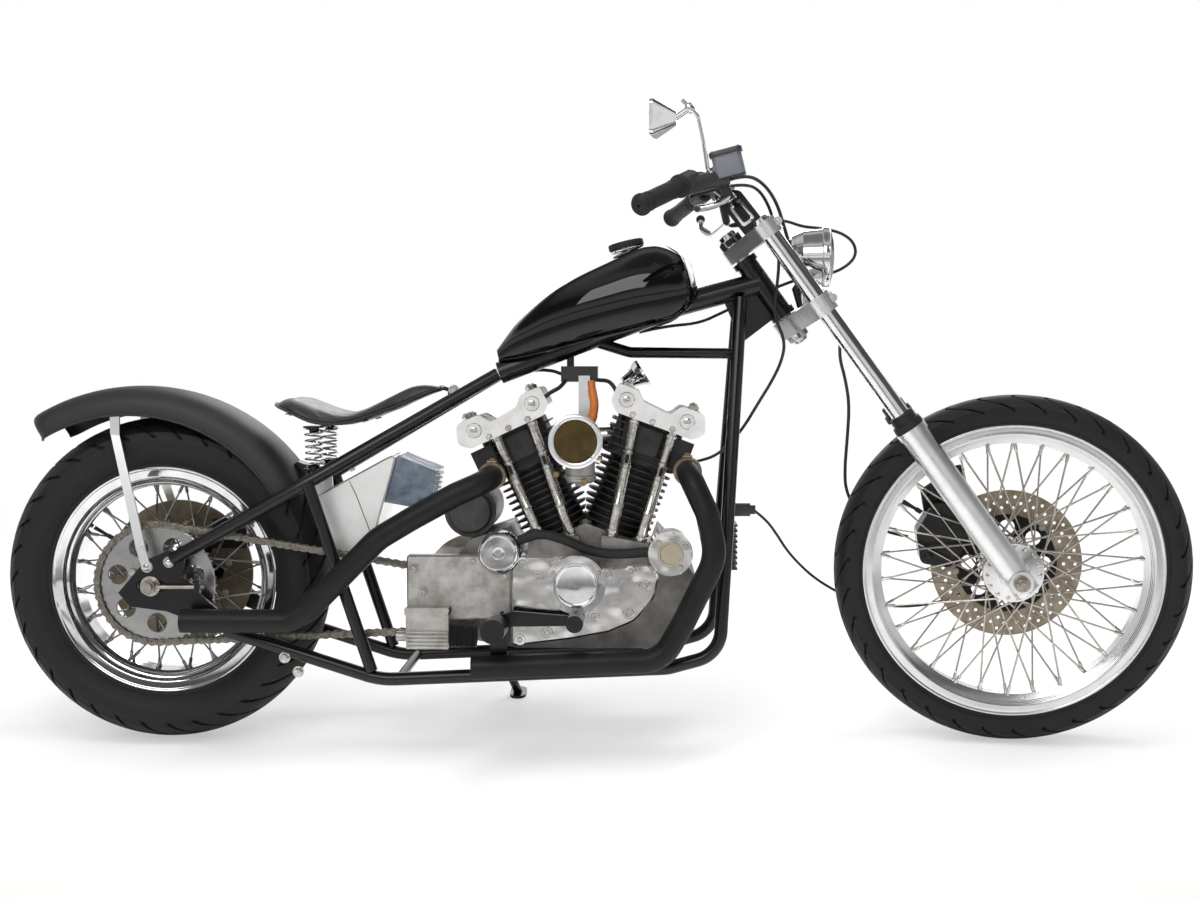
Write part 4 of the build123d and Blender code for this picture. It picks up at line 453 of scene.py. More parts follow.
# ------------------------------------------------------------------ tyres
SHOULDER_SHARE = 0.2           # the shoulder's share of the way from the crown to the bead
TREAD_SHARE = 0.86             # the tread's share of a tyre's half width
GROOVE_DEPTH = 6.5
GROOVE_LIP = 16                # how far a groove runs down the wall under the shoulder
TREAD_ROWS = 30
# where a groove's columns of points lie: share of its half width, share of its depth
GROOVE_COLUMNS = [(-1.0, 0.0), (-0.8, 0.95), (0.0, 1.0), (0.8, 0.95), (1.0, 0.0)]


def tyre_profile(crown, half_width, bead, bead_half):
    """A tyre's (radius, y) outline, its shoulder, half its tread's width and its count of outer places."""
    flange = bead + 17
    shoulder = crown - SHOULDER_SHARE * (crown - bead)
    edge = TREAD_SHARE * half_width
    bulge = (flange + crown) / 2 - 4
    profile = [(bead + 1, bead_half - 13), (bead + 1, bead_half - 3.5), (flange - 3, bead_half - 3.5),
               (flange + 2, bead_half + 1.5), (flange + 6, bead_half + 2.5), (flange + 8, bead_half + 5)]
    wall = [profile[-1], (bulge - 14, half_width - 2.2), (bulge, half_width), (bulge + 12, half_width - 1),
            (shoulder - 8, edge + 5.4), (shoulder - 4.5, edge + 5.2), (shoulder - 2.5, edge + 2.2)]
    profile += [(p.x, p.z) for p in swept([(r, 0, y) for r, y in wall], 4)[1:]]
    right_wall = [(r, -y) for r, y in reversed(profile)]
    arc = (edge ** 2 + (crown - shoulder) ** 2) / (2 * (crown - shoulder))
    for row in range(TREAD_ROWS + 1):
        y = edge * (1 - 2 * row / TREAD_ROWS)
        profile.append((crown - arc + math.sqrt(arc ** 2 - y ** 2), y))
    profile += right_wall
    inside = [(flange, 12 - bead_half), (bulge, 9 - half_width), (crown - 10, 0), (bulge, half_width - 9),
              (flange, bead_half - 12)]
    return profile + inside, shoulder, edge, len(profile)


def tyre(name, body, place, centre, crown, half_width, bead, bead_half, grooves, slant, reach,
         groove_width, hook):
    """A tyre with a bulging side wall, a shoulder ridge and a grooved tread.

    Each side has as many grooves as grooves says.  A groove starts on the wall under the shoulder and runs in
    to reach, a share of the half width.  It slants forward by slant, a share of the pitch, and hook bends it
    back at its end.  The columns of points follow the grooves, so that their edges are clean.
    """
    profile, shoulder, edge, last_outer = tyre_profile(crown, half_width, bead, bead_half)
    pitch = math.tau / grooves
    half_groove = groove_width / crown
    columns = []
    for start, side in ((0, -1), (0.5 * pitch, 1)):
        columns += [(start + across * half_groove, side, depth) for across, depth in GROOVE_COLUMNS]
        columns += [(start + share * pitch, 0, 0) for share in (0.2, 0.3, 0.4)]
    columns.sort()
    rings = []
    for groove in range(grooves):
        for turned, groove_side, column_depth in columns:
            ring = []
            for row, (radius, y) in enumerate(profile):
                inward = 1 - abs(y) / edge
                if radius < shoulder - GROOVE_LIP or row >= last_outer:
                    inward = -GROOVE_LIP / edge
                elif radius < shoulder:
                    inward = (radius - shoulder) / edge
                share = inward / reach
                late = max(0.0, share - 0.55)
                bend = math.sin(max(-0.3, min(1.0, share)) * math.pi / 2) - hook * late ** 2 * 4
                angle = groove * pitch + turned + slant * pitch * bend
                if groove_side * y > 0 and row < last_outer and -GROOVE_LIP / edge < inward < reach:
                    depth = GROOVE_DEPTH * column_depth * (1 if share < 0.8 else max(0.0, (1 - share) / 0.2))
                    if inward <= 0:
                        depth *= min(1.0, (inward * edge + GROOVE_LIP) / 8)
                        y -= groove_side * depth * 0.8
                        radius -= depth * 0.3
                    else:
                        radius -= depth
                        y -= groove_side * depth * max(0.0, 0.8 - 4 * inward)
                ring.append(centre + Vector((radius * math.cos(angle), y, radius * math.sin(angle))))
            rings.append(ring)
    shape = Shape()
    shape.rings(rings, "tyre", closed=True)
    shape.make(name + "_tread", body, "tyre", place, sharp=28, replaces=[name])


tyre("rear_tyre", "rear_wheel", UPRIGHT, REAR_AXLE, 316, 70, 203.2, 48, 34, 0.9, 0.93, 5.4, 0.0)
tyre("front_tyre", "front_wheel", STEERED, FRONT_AXLE, 339, 41, 266.7, 31, 34, 0.75, 0.95, 3.8, 0.5)

# ------------------------------------------------------------------ wheels: rims, spoke ends, discs, chain
def around(radius, degrees, y, centre):
    """A place on a circle about a wheel's centre."""
    turned = math.radians(degrees)
    return centre + Vector((radius * math.cos(turned), y, radius * math.sin(turned)))


PUNCH_BEVEL = 0.4


def punched(shape, outline, holes, origin, depth, finish_name):
    """A flat upright piece with an (x, z) outline and round holes (x, z, radius), depth thick to the left."""
    flat = bpy.data.curves.new("flat", "CURVE")
    flat.dimensions = "2D"
    flat.fill_mode = "BOTH"
    flat.extrude = depth / 2 - PUNCH_BEVEL
    flat.bevel_depth = PUNCH_BEVEL
    flat.bevel_resolution = 0
    flat.offset = -PUNCH_BEVEL
    for loop in [outline] + [circle(radius, 10 if radius < 6 else 28, 0, a, b) for a, b, radius in holes]:
        spline = flat.splines.new("POLY")
        spline.points.add(len(loop) - 1)
        for point, (a, b) in zip(spline.points, loop):
            point.co = (a, b, 0, 1)
        spline.use_cyclic_u = True
    holder = bpy.data.objects.new("flat", flat)
    made = bpy.data.meshes.new_from_object(holder)
    middle = origin + LEFT * depth / 2
    shape.add([middle + AHEAD * spot.co.x + UP * spot.co.y - LEFT * spot.co.z for spot in made.vertices],
              [list(face.vertices) for face in made.polygons], finish_name)
    bpy.data.objects.remove(holder)
    bpy.data.curves.remove(flat)
    bpy.data.meshes.remove(made)


def spoke_ends(centre, count, hub_radius, hub_y, rim_radius):
    """Where each spoke leaves its hub flange and meets its rim, as the CAD laces them."""
    for side in SIDES:
        for lean in (-1, 1):
            for index in range(count):
                at_rim = 360 / count * (index + 0.25 * lean) + (0 if side < 0 else 180 / count)
                start = around(hub_radius, at_rim + 62 * lean, side * (hub_y + 2.6 * lean), centre)
                yield LEFT * side * lean, start, around(rim_radius, at_rim, side * (8 + 3 * lean), centre)


# the rims' outlines from the flange's edge to the well, as (radius past the bead seat, y inside the flange)
REAR_LIP = [(17, -2), (18, -0.5), (17.5, 1.2), (16, 2), (14, 1.6), (12.5, 0), (11, -1.2), (0, -1.6),
            (-2.6, -3), (-3.4, -6), (-4.4, -17), (-6.5, -18.5), (-8.5, -19.5), (-9.2, -21), (-19.6, -27)]
FRONT_LIP = [(17, -2), (18, -0.5), (17.5, 1.2), (16, 1.8), (13.5, 1.2), (12, -0.6), (4, -0.9), (1.5, 0.4),
             (-1, 0.4), (-3.5, -1.2), (-3.8, -4.5), (-5.2, -5.4), (-5.6, -8.8), (-7, -9.7), (-7.4, -13),
             (-9, -14), (-19.6, -19)]
# columns: name, body, place, centre, bead radius, half width, lip, rim and nipple finish, spokes of a kind,
# hub radius, hub y
WHEELS = [
    ("rear", "rear_wheel", UPRIGHT, REAR_AXLE, 203.2, 48, REAR_LIP, "chrome", "dark_chrome", 10, 52, 43),
    ("front", "front_wheel", STEERED, FRONT_AXLE, 266.7, 31, FRONT_LIP, "rim_aluminium", "worn_chrome",
     15, 50, 38),
]
VALVE_ANGLE = 148
for name, body, place, centre, bead, half, lip, rim_finish, nipple_finish, count, hub_radius, hub_y in WHEELS:
    rim = Shape()
    outer = [(bead + reach, half + inward) for reach, inward in lip]
    seat_side = [(bead - 15, 0.4 * half), (bead - 13, 0.42 * half), (bead + 2, 0.55 * half),
                 (bead + 2, half - 4)]
    rim.lathe(centre, LEFT, outer + [(r, -y) for r, y in reversed(seat_side + outer)] + seat_side, rim_finish,
              144, closed=True)
    rim.make(name + "_rim_shell", body, "chrome", place, sharp=38, replaces=[name + "_rim"])
    ends = Shape()
    for outward, start, end in spoke_ends(centre, count, hub_radius, hub_y, bead - 19):
        along = (end - start).normalized()
        ends.tube([end + along * reach for reach in (-17, -15, -4, 1)], [2.6, 3.3, 3.3, 4.2],
                  nipple_finish, 10)
        ends.tube([start, start + along * 5], [2.7, 2.1], "worn_chrome", 8)
        ends.lathe(start + outward * 1.6, outward, [(4.2, 0), (3.8, 1.4), (2, 2.2), (0, 2.4)],
                   "worn_chrome", 10)
    ends.make(name + "_nipples", body, "chrome", place)
    valve = Shape()
    for near, near_y, far, far_y, radius in ((22, 3, 56, 6, [4, 3]), (52, 5.6, 64, 6.6, 4.6)):
        valve.tube([around(bead - near, VALVE_ANGLE, near_y, centre),
                    around(bead - far, VALVE_ANGLE, far_y, centre)], radius, "rubber", 12)
    valve.make(name + "_valve_stem", body, "tyre", place)

# columns: the rings of small holes' radius, how many, first angle
DISC_ROWS = ((111, 30, 0), (122, 30, 6), (133, 30, 0))
small_holes = [(a, b, 3.4) for radius, count, first in DISC_ROWS for a, b in circle(radius, count, first)]
windows = [(a, b, 15) for a, b in circle(72, 8)]
# columns: CAD disc, body, place, centre, y of its middle, hub radius, small holes, ring and carrier finish
for name, body, place, centre, y, hub_radius, holes, iron, carrier in (
        ("rear_disc", "rear_wheel", UPRIGHT, REAR_AXLE, 60, 38, [], "rear_disc_iron", "rear_disc_iron"),
        ("front_disc", "front_wheel", STEERED, FRONT_AXLE, 56, 34, small_holes, "disc_iron",
         "exhaust_black")):
    disc = Shape()
    punched(disc, circle(146, 160), holes + [(0, 0, 98)], centre + LEFT * (y - 2.5), 5, iron)
    punched(disc, circle(101, 120), windows + [(0, 0, hub_radius + 0.5)], centre + LEFT * (y - 1.8),
            3.6, carrier)
    for i in range(10):
        button = around(98.5, 36 * i + 11, y, centre)
        disc.lathe(button - LEFT * 4, LEFT, [(6, 0), (7, 1), (7, 7), (6, 8)], "steel", 14)
    for i in range(5):
        for side in SIDES:
            disc.bolt(around(47, 72 * i + 20, y + side * 2, centre), LEFT * side, 6.5, 5, "steel")
    disc.make(name + "_plate", body, "steel", place, replaces=[name])

sprocket_bolts = Shape()
for i in range(5):
    sprocket_bolts.nut(around(50, 72 * i + 10, -93, REAR_AXLE), RIGHT, 8.5, 7)
sprocket_bolts.lathe(REAR_AXLE + RIGHT * 93, RIGHT, [(36, 0), (36, 2.5), (34, 4), (20, 4), (18, 2)],
                     "chrome", 40)
sprocket_bolts.make("sprocket_bolts", "rear_wheel", "steel")

# the chain runs round the rear sprocket and the gearbox's, its links alternately inner and outer
CHAIN_PITCH = 15.875
REAR_TEETH = 45
CHAIN_Y = -90
REAR_PITCH_RADIUS = CHAIN_PITCH / 2 / math.sin(math.pi / REAR_TEETH)
DRIVE = Vector((580, 0, 283))
DRIVE_RADIUS = 53
LINK_END = 6.9                 # radius of a link plate's ends
LINK_WAIST = 4.9               # half its height in the middle
ROLLERS_SHOW = (150, 510)      # the x between which the rollers are to be seen


def chain_route():
    """The pins' line as two arcs with straight runs between, sampled every millimetre or so."""
    run = DRIVE - REAR_AXLE
    lie = math.atan2(run.z, run.x)
    lean = math.acos((REAR_PITCH_RADIUS - DRIVE_RADIUS) / run.length)
    line = []
    for centre, radius, first, sweep, steps in (
            (REAR_AXLE, REAR_PITCH_RADIUS, lie + lean, math.tau - 2 * lean, 720),
            (DRIVE, DRIVE_RADIUS, lie - lean, 2 * lean, 360)):
        for step in range(steps + 1):
            angle = first + sweep * step / steps
            line.append(centre + Vector((math.cos(angle), 0, math.sin(angle))) * radius)
    return line + [line[0]]


route = chain_route()
lengths = [0.0]
for before, after in zip(route, route[1:]):
    lengths.append(lengths[-1] + (after - before).length)
links = 2 * round(lengths[-1] / CHAIN_PITCH / 2)
pins = []
spot = 0
for link in range(links):
    wanted = lengths[-1] * link / links
    while lengths[spot + 1] < wanted:
        spot += 1
    share = (wanted - lengths[spot]) / (lengths[spot + 1] - lengths[spot])
    pins.append(route[spot].lerp(route[spot + 1], share) + LEFT * CHAIN_Y)
chain = Shape()
for link, pin in enumerate(pins):
    after = pins[(link + 1) % links]
    along = (after - pin).normalized()
    across = along.cross(LEFT)
    middle = (after - pin).length / 2
    plate = []
    for step in range(9):
        angle = math.pi / 2 + math.pi * step / 8
        plate.append((LINK_END * math.cos(angle) - middle, LINK_END * math.sin(angle)))
    plate += [(0, -LINK_WAIST)] + [(-a, -b) for a, b in plate] + [(0, LINK_WAIST)]
    outer = link % 2
    for side in SIDES:
        start = (pin + after) / 2 + LEFT * side * (7.4 if outer else 5.2)
        chain.plate(plate, start, along, across, 1.9, "chain_steel", 0.4, facing=LEFT * side)
        for end in (pin, after) if outer else ():
            chain.lathe(end + LEFT * side * 9, LEFT * side, [(2.4, 0), (2.2, 0.8), (0, 1)], "chain_steel", 8)
    if ROLLERS_SHOW[0] < pin.x < ROLLERS_SHOW[1]:
        chain.lathe(pin - LEFT * 5.4, LEFT, [(4.9, 0), (4.9, 10.8)], "chain_steel", 10)
chain.make("chain_links", "frame", "steel", sharp=40, replaces=["drive_chain"])

# ------------------------------------------------------------------ engine
CRANK = Vector((827, 0, 292))
REAR_TILT = math.radians(-24.9)
FRONT_TILT = math.radians(20.1)
FACE = -130                   # the gear case cover's outer face


def on_bore(tilt, across, y, up):
    """A place given across and up a cylinder's axis, with its y."""
    return CRANK + Vector((across * math.cos(tilt) + up * math.sin(tilt), y,
                           up * math.cos(tilt) - across * math.sin(tilt)))


def bore_up(tilt):
    return Vector((math.sin(tilt), 0, math.cos(tilt)))


covers = Shape()
# columns: x, z of the gear case's bosses and socket screws
for x, z in ((706, 365), (735, 339), (752, 232), (839, 265), (904, 269), (908, 349), (862, 343), (700, 218),
             (935, 322), (768, 366)):
    covers.lathe((x, FACE + 2, z), RIGHT, [(10.5, 0), (10.5, 3.4), (9.6, 4.2), (0, 4.2)],
                 "polished_aluminium", 28)
    covers.bolt((x, FACE - 2, z), RIGHT, 5.6, 5)
POINTS_COVER = Vector((807, 0, 324))
covers.lathe(POINTS_COVER + LEFT * (FACE - 18.5), RIGHT,
             [(42, 0), (42, 2), (41, 3), (37.5, 3.2), (36, 2), (34, 1.6), (0, 2.4)], "chrome", 72)
for angle in (28, 152, 270):
    covers.bolt(around(48, angle, FACE - 15, POINTS_COVER), RIGHT, 4.2, 3.6)
TIMER = Vector((983, 0, 382))
covers.lathe(TIMER + LEFT * (FACE - 11.6), RIGHT, [(24, 0), (24, 1.6), (23, 2.6), (20, 2.8), (19, 2.0),
                                                   (0, 2.0)], "champagne", 48)
for angle in (137, 28, -55):
    covers.washer(around(31, angle, FACE - 8.5, TIMER), RIGHT, 6.6, 0.8, steps=20)
    covers.nut(around(31, angle, FACE - 9.2, TIMER), RIGHT, 5.6, 4)
for angle in (10, 82, 154, 226, 298):
    covers.lathe(around(39.5, angle, FACE - 3.6, TIMER), RIGHT, [(3, 0), (2.6, 1.2), (0, 1.6)],
                 "worn_chrome", 10)
# columns: x, y, z, radius of the sprocket cover's, filter's and master cylinder's screws
for x, y, z, radius in ((500, -131, 352, 6.2), (518, -131, 308, 6.2), (672, -131, 338, 6.2),
                        (500, -128, 264, 5.2), (668, -128, 268, 5.2), (612, -128, 366, 5.2)):
    covers.bolt((x, y, z), RIGHT, radius, radius)
FILTER = Vector((662, -148, 384))
covers.lathe(FILTER + LEFT * 0.2, RIGHT, [(33, 0), (32.5, 0.8), (30, 0.9), (29.5, 0.2), (13, 0.2), (12, 1.6),
                                          (9, 1.8)], "chrome", 56)
covers.bolt(FILTER + RIGHT * 2.5, RIGHT, 6, 4)
covers.make("cover_screws", "frame", "polished_aluminium")

top_end = Shape()
for tilt, outward in ((REAR_TILT, -1), (FRONT_TILT, 1)):
    up = bore_up(tilt)
    for across in (-60, 61):
        spot = on_bore(tilt, outward * across, -100, 379)
        top_end.lathe(spot, RIGHT, [(14.5, -5), (14.5, 0.8), (13.5, 2), (9.5, 2), (9.5, 0.4), (0, 0.4)],
                      "chrome", 32)
        top_end.nut(spot + RIGHT * 0.2, RIGHT, 7.5, 3.4)
    for across, y in ((-66, -82), (-66, 34), (66, -82), (66, 34), (66, -20)):
        spot = on_bore(tilt, outward * across, y, 402.5)
        top_end.washer(spot, up, 11, 1.6, steps=20)
        top_end.nut(spot + up * 1.5, up, 8.4, 8)
        top_end.lathe(spot + up * 9, up, [(4, 0), (4, 3), (3, 4), (0, 4)], "worn_chrome", 12)
    for across in (-40, 0, 40):
        top_end.nut(on_bore(tilt, outward * across, -97, 356), RIGHT, 6.4, 5)
    for y in (-63, 63):
        for across in (-50, 50):
            top_end.nut(on_bore(tilt, across, y * 0.86, 128), up, 8, 9, "steel")
top_end.make("rocker_bolts", "frame", "polished_aluminium")

# a pushrod tube's outline: radius, share of its length, and millimetres past it
ROD_OUTLINE = [(9.6, 0, 2), (10.6, 0, 3), (10.6, 0, 9), (9.2, 0, 10), (9.2, 0.26, 0), (11.2, 0.27, 0),
               (11.2, 0.27, 5), (9.4, 0.27, 6), (9.4, 0.27, 26), (11, 0.27, 27), (11, 0.27, 33),
               (10.2, 0.27, 34), (10.2, 0.72, 0), (11.4, 0.73, 0), (11.4, 0.73, 4), (10.2, 0.73, 5),
               (10.2, 1, -12), (12.4, 1, -11), (12.4, 1, -3), (11, 1, -1)]
rods = Shape()
# columns: top x, z and foot x, z of the pushrod tubes
for top_x, top_z, foot_x, foot_z in ((653, 600, 732, 415), (719, 628, 794, 412), (916, 632, 872, 412),
                                     (986, 603, 925, 398)):
    top = Vector((top_x, -84, top_z))
    run = Vector((foot_x, -90, foot_z)) - top
    along = run.normalized()
    rods.lathe(top, along, [(radius, run.length * share + past) for radius, share, past in ROD_OUTLINE],
               "worn_chrome", 24)
    clip = top + along * (run.length * 0.27 + 7) + RIGHT * 9
    rods.plate(pad(-3.4, 0, 3.4, 18, 3, 4), clip, along.cross(RIGHT), along, 1, "exhaust_black", facing=RIGHT)
rods.make("pushrod_clips", "frame", "chrome", sharp=35)

carb = Shape()
MOUTH = Vector((808, -196, 595))
# the bore and its butterfly are painted dark, as shade inside the throat
carb.lathe(MOUTH, LEFT, [(39.9, -0.6), (39.6, 0.6), (39.6, 20), (36, 27), (29, 30.4), (25, 30.6),
                         (24.4, 30.9), (0, 30.9)], "throat_brass", 72)
carb.lathe(MOUTH + LEFT * 30.4, RIGHT, [(23.6, 0), (23.6, 0.9), (12, 1.4), (0, 1.6)], "throat_brass", 48)
carb.tube([MOUTH + Vector((-24, 28, 4)), MOUTH + Vector((24, 28, 4))], 2.2, "old_brass", 10)
for across in (-9, 9):
    carb.bolt(MOUTH + Vector((across, 26, 4)), RIGHT, 2.4, 1.2, "brass", socket=False, steps=12)
carb.lathe(MOUTH, LEFT, [(40.2, -0.5), (43, -1.6), (47, -1.4), (49.6, 0.4), (49.6, 3.2), (46, 5.5), (44.6, 8),
                         (44.6, 33), (36, 38), (40.2, 2)], "fork_aluminium", 96, closed=True)
for dx in (30.6, -30.6):
    for dz in (30.6, -30.6):
        carb.bolt(MOUTH + Vector((dx, 0.4, dz)), RIGHT, 3, 1.6, "steel", steps=12)
# columns: place from the mouth, radius and axis of the brass plugs
for place, radius, axis in (((-37, 46, -63), 6, RIGHT), ((16, 43, -76), 6.5, RIGHT),
                            ((40, 68, -36), 7, AHEAD)):
    carb.nut(MOUTH + Vector(place), axis, radius, 7, "brass")
carb.lathe(MOUTH + Vector((6, 70, -74)), -UP, [(27.4, -50), (27.4, -8), (30, -7), (30, -2), (27.6, -1),
                                               (26.5, 3), (22, 7), (9.5, 7.5), (9.5, 12), (8, 13), (0, 13)],
           "cast_aluminium", 40)
carb.make("carburettor_bore", "frame", "cast_aluminium")

leads = Shape()
leads.tube(swept([(832, -40, 702), (834, -46, 684), (838, -52, 660), (836, -52, 640), (830, -48, 624)]),
           [7.5] * 6 + [8.4] * 13 + [9.5] * 6, "orange_rubber", 14)
# columns: a lead's route and radius
for lead, radius in (
        ([(782, -28, 703), (770, -40, 690), (748, -52, 676), (728, -58, 648), (722, -62, 610),
          (726, -60, 572)], 4),
        ([(842, -28, 705), (868, -44, 700), (884, -58, 672), (888, -62, 630), (884, -60, 575)], 4),
        ([(776, 24, 714), (750, 26, 722), (712, 24, 722), (668, 22, 706)], 3.4)):
    leads.tube(swept(lead), radius, "cable_black", 10)
leads.make("ignition_leads", "frame", "rubber")

clamps = Shape()
# columns: an exhaust port, and a place that its stub points to
for port, towards in (((648, -60, 527), (643, -150, 520)), ((1012, -60, 540), (1018, -148, 528))):
    port = Vector(port)
    out = (Vector(towards) - port).normalized()
    clamps.lathe(port + out * 33.6, out, [(22.6, 0), (26.9, 0.4), (26.9, 14.4), (22.6, 14.8)],
                 "old_steel", 40)
    clamps.tube([port + out * 41 + UP * 27 + AHEAD * reach for reach in (-9, 9)], 3.2, "old_steel", 10)
    clamps.plate(rounded([(-5, 0, 1), (5, 0, 1), (5, 9, 2), (-5, 9, 2)], 3), port + out * 36 + UP * 24, AHEAD,
                 UP, -10, "old_steel")
clamps.make("exhaust_clamps", "frame", "steel")

# the heads' plain upper castings between the pushrods, each with a plug
castings = Shape()
for tilt in (REAR_TILT, FRONT_TILT):
    along = bore_up(tilt)
    castings.plate(pad(-30, -4, 30, 46, 6, 5), on_bore(tilt, 0, -70, 296), along.cross(RIGHT), along, 5,
                   "fin_black", 2, facing=RIGHT)
    castings.bolt(on_bore(tilt, 0, -75, 318), RIGHT, 7, 3.4, "fin_black")
castings.make("head_castings", "frame", "fin_black")

canister = Shape()
canister.lathe(FILTER + LEFT * 52, RIGHT, [(0, 0), (36, 0), (38.4, 2), (38.6, 40), (38, 46), (35.5, 50),
                                           (32, 51.6), (31, 50.8), (12, 51.8), (11, 50.6), (8.5, 50.6),
                                           (8, 52), (0, 52)], "chrome", 72)
canister.nut(FILTER + LEFT * 0.6, RIGHT, 5, 2.6)
for turned in range(0, 360, 30):
    canister.tube([around(38.4, turned, y, FILTER) for y in (49, 41)], 1.2, "chrome", 6)
canister.make("filter_can", "frame", "chrome", sharp=40, replaces=["oil_filter"])


def paint(node_name, finish_name, chosen):
    """Give the faces of a CAD node whose middle passes the test another finish."""
    mesh = frame["nodes"][node_name].data
    mesh.materials.append(material[finish_name])
    back = UPRIGHT.inverted()
    for face in mesh.polygons:
        if chosen(back @ face.center):
            face.material_index = len(mesh.materials) - 1


BOOT_START = 569.5            # where the rear master cylinder's rubber boot starts
IGNITION_RADIUS = 44
paint("rear_master_cylinder", "rubber", lambda spot: spot.x > BOOT_START)
paint("gearcase_cover", "chrome",
      lambda spot: math.hypot(spot.x - CRANK.x, spot.z - CRANK.z) < IGNITION_RADIUS and spot.y < FACE - 1)

# ------------------------------------------------------------------ bars, fork and headlight
BAR_END = (-79, 372, 171.5)
BAR_CORNER = (31, 195, 162.6)
LEG_Y = 105


def on_bar(side, along):
    """A place on the straight grip run of the bar, at a distance from its end."""
    outer = steer(BAR_END[0], side * BAR_END[1], BAR_END[2])
    inner = steer(BAR_CORNER[0], side * BAR_CORNER[1], BAR_CORNER[2])
    return outer + (inner - outer).normalized() * along


def leg(side, up):
    """A place on a fork leg's centre line."""
    return steer(TREE_OFFSET, side * LEG_Y, up)


def ribs(first, count, base, rise):
    """The outline of ribs round a grip, from a distance along it."""
    return [(base + rise * high, first + 3.2 * rib + step)
            for rib in range(count) for high, step in ((0, 0), (1, 0.5), (1, 2), (0, 2.5))]


GRIP_OUTLINE = ([(2.6, -5), (2.6, -9.4), (8, -9.4), (13, -8.2), (17, -5.2), (19.3, -1), (19.3, 3),
                 (17.6, 6.5), (16.4, 8)] + ribs(9, 5, 16.4, 0.8) + [(16.2, 26), (16.5, 60), (16.2, 102)]
                + ribs(103, 6, 16.2, 0.9) + [(17.5, 123.4), (20.2, 125), (21, 127), (21, 130), (19.6, 132),
                                             (11.3, 132), (11.3, 2)])
SEAL_OUTLINE = [(17.6, 0), (28.4, 0), (28.6, 3), (28.2, 9), (27.4, 14), (24, 15.4), (23.4, 18), (23.6, 29),
                (22.2, 31.6), (19, 32), (17.7, 31)]
grips = Shape()
fork = Shape()
for side in SIDES:
    grips.lathe(on_bar(side, 0), on_bar(side, 10) - on_bar(side, 0), GRIP_OUTLINE, "rubber", 40, closed=True)
    fork.lathe(leg(side, -437), STEM_UP, SEAL_OUTLINE, "rubber", 48, closed=True)
grips.make("grip_rubbers", "steering", "rubber", STEERED, replaces=["grips"])
fork.make("dust_seals", "steering", "rubber", STEERED, replaces=["fork_seals"])

fittings = Shape()
fittings.lathe(steer(0, 0, 34), STEM_UP, [(24, 0), (24, 1.8), (21, 2.4)], "chrome", 40)
fittings.nut(steer(0, 0, 35.8), STEM_UP, 26.4, 14, "chrome")
fittings.lathe(steer(0, 0, 50), STEM_UP, [(17.6, 0), (17.6, 7.4), (15.6, 9.4), (9, 9.4), (8.4, 7.6),
                                          (0, 7.6)], "chrome", 36)
fittings.nut(steer(0, 0, -173), -STEM_UP, 23.4, 14)
fittings.lathe(steer(0, 0, -187), -STEM_UP, [(13, 0), (13, 6), (11.5, 7.5), (0, 7.5)], "worn_chrome", 24)
for side in SIDES:
    outward = LEFT * side
    for up in (19, -155):
        lug = steer(TREE_OFFSET + 24, side * LEG_Y, up)
        fittings.bolt(lug + RIGHT * 16, RIGHT, 5.8, 5)
        fittings.nut(lug + LEFT * 16, LEFT, 6.4, 5)
    fittings.lathe(leg(side, 41), STEM_UP, [(14, 0), (14, 1.6), (12.8, 2.4), (8, 2.4), (7.4, 0.6), (0, 0.6)],
                   "chrome", 32)
    # the risers' chrome side plates, each with a black inlay, and their clamp screws
    for corners, out, depth, plate_finish, bevel in (
            (((36, 48, 6), (64, 48, 6), (62, 100, 9), (36, 96, 9)), 65.2, 1.6, "chrome", 0.5),
            (((41, 54, 5), (59, 54, 5), (57, 93, 7), (41, 90, 7)), 66.7, 0.7, "satin_black", 0.2)):
        fittings.plate(rounded(corners, 5), steer(0, side * out, 0), STEM_AHEAD, STEM_UP, depth, plate_finish,
                       bevel, facing=outward)
    for ahead, up in ((38, 118), (62, 123)):
        fittings.bolt(steer(ahead, side * 48, up), STEM_UP, 5.4, 5)
    end = FRONT_AXLE + outward * 143
    fittings.nut(end, outward, 12.6, 6, "steel")
    fittings.lathe(end + outward * 5.6, outward, [(7, 0), (7, 3), (5.8, 4.2), (0, 4.2)], "steel", 20)
    fittings.lathe(FRONT_AXLE + outward * 135, outward, [(21.4, -0.5), (21.4, 1.2), (16, 1.4)],
                   "fork_aluminium", 40)
for ahead in (24, 101):
    fittings.washer(steer(ahead, 96, -588), LEFT, 10.4, 1.2)
    fittings.nut(steer(ahead, 97, -588), LEFT, 7.4, 6)
    fittings.bolt(steer(ahead, 76, -588), RIGHT, 8.6, 8, "satin_black", socket=False)
fittings.make("fork_fittings", "steering", "fork_aluminium", STEERED)

caliper = Shape()
for x, z in ((1494, 352), (1540, 352), (1556, 448), (1498, 442)):
    caliper.bolt((x, 39.4, z), RIGHT, 8.5, 5, "satin_black", socket=False)
    caliper.bolt((x, 93, z), LEFT, 7, 6)
for z in (380, 420):
    caliper.lathe((1522, 93, z), LEFT, [(19, 0), (19, 4), (17, 6), (15, 6), (14, 5), (0, 5)],
                  "satin_black", 32)
caliper.tube([(1566, 60, 444), (1578, 60, 450)], 5, "steel", 12)
caliper.nut((1576, 60, 449), Vector((12, 0, 6)), 6, 7, "brass")
caliper.make("caliper_bolts", "steering", "satin_black", STEERED)

# switch pod, clutch perch, reservoir and levers
controls = Shape()
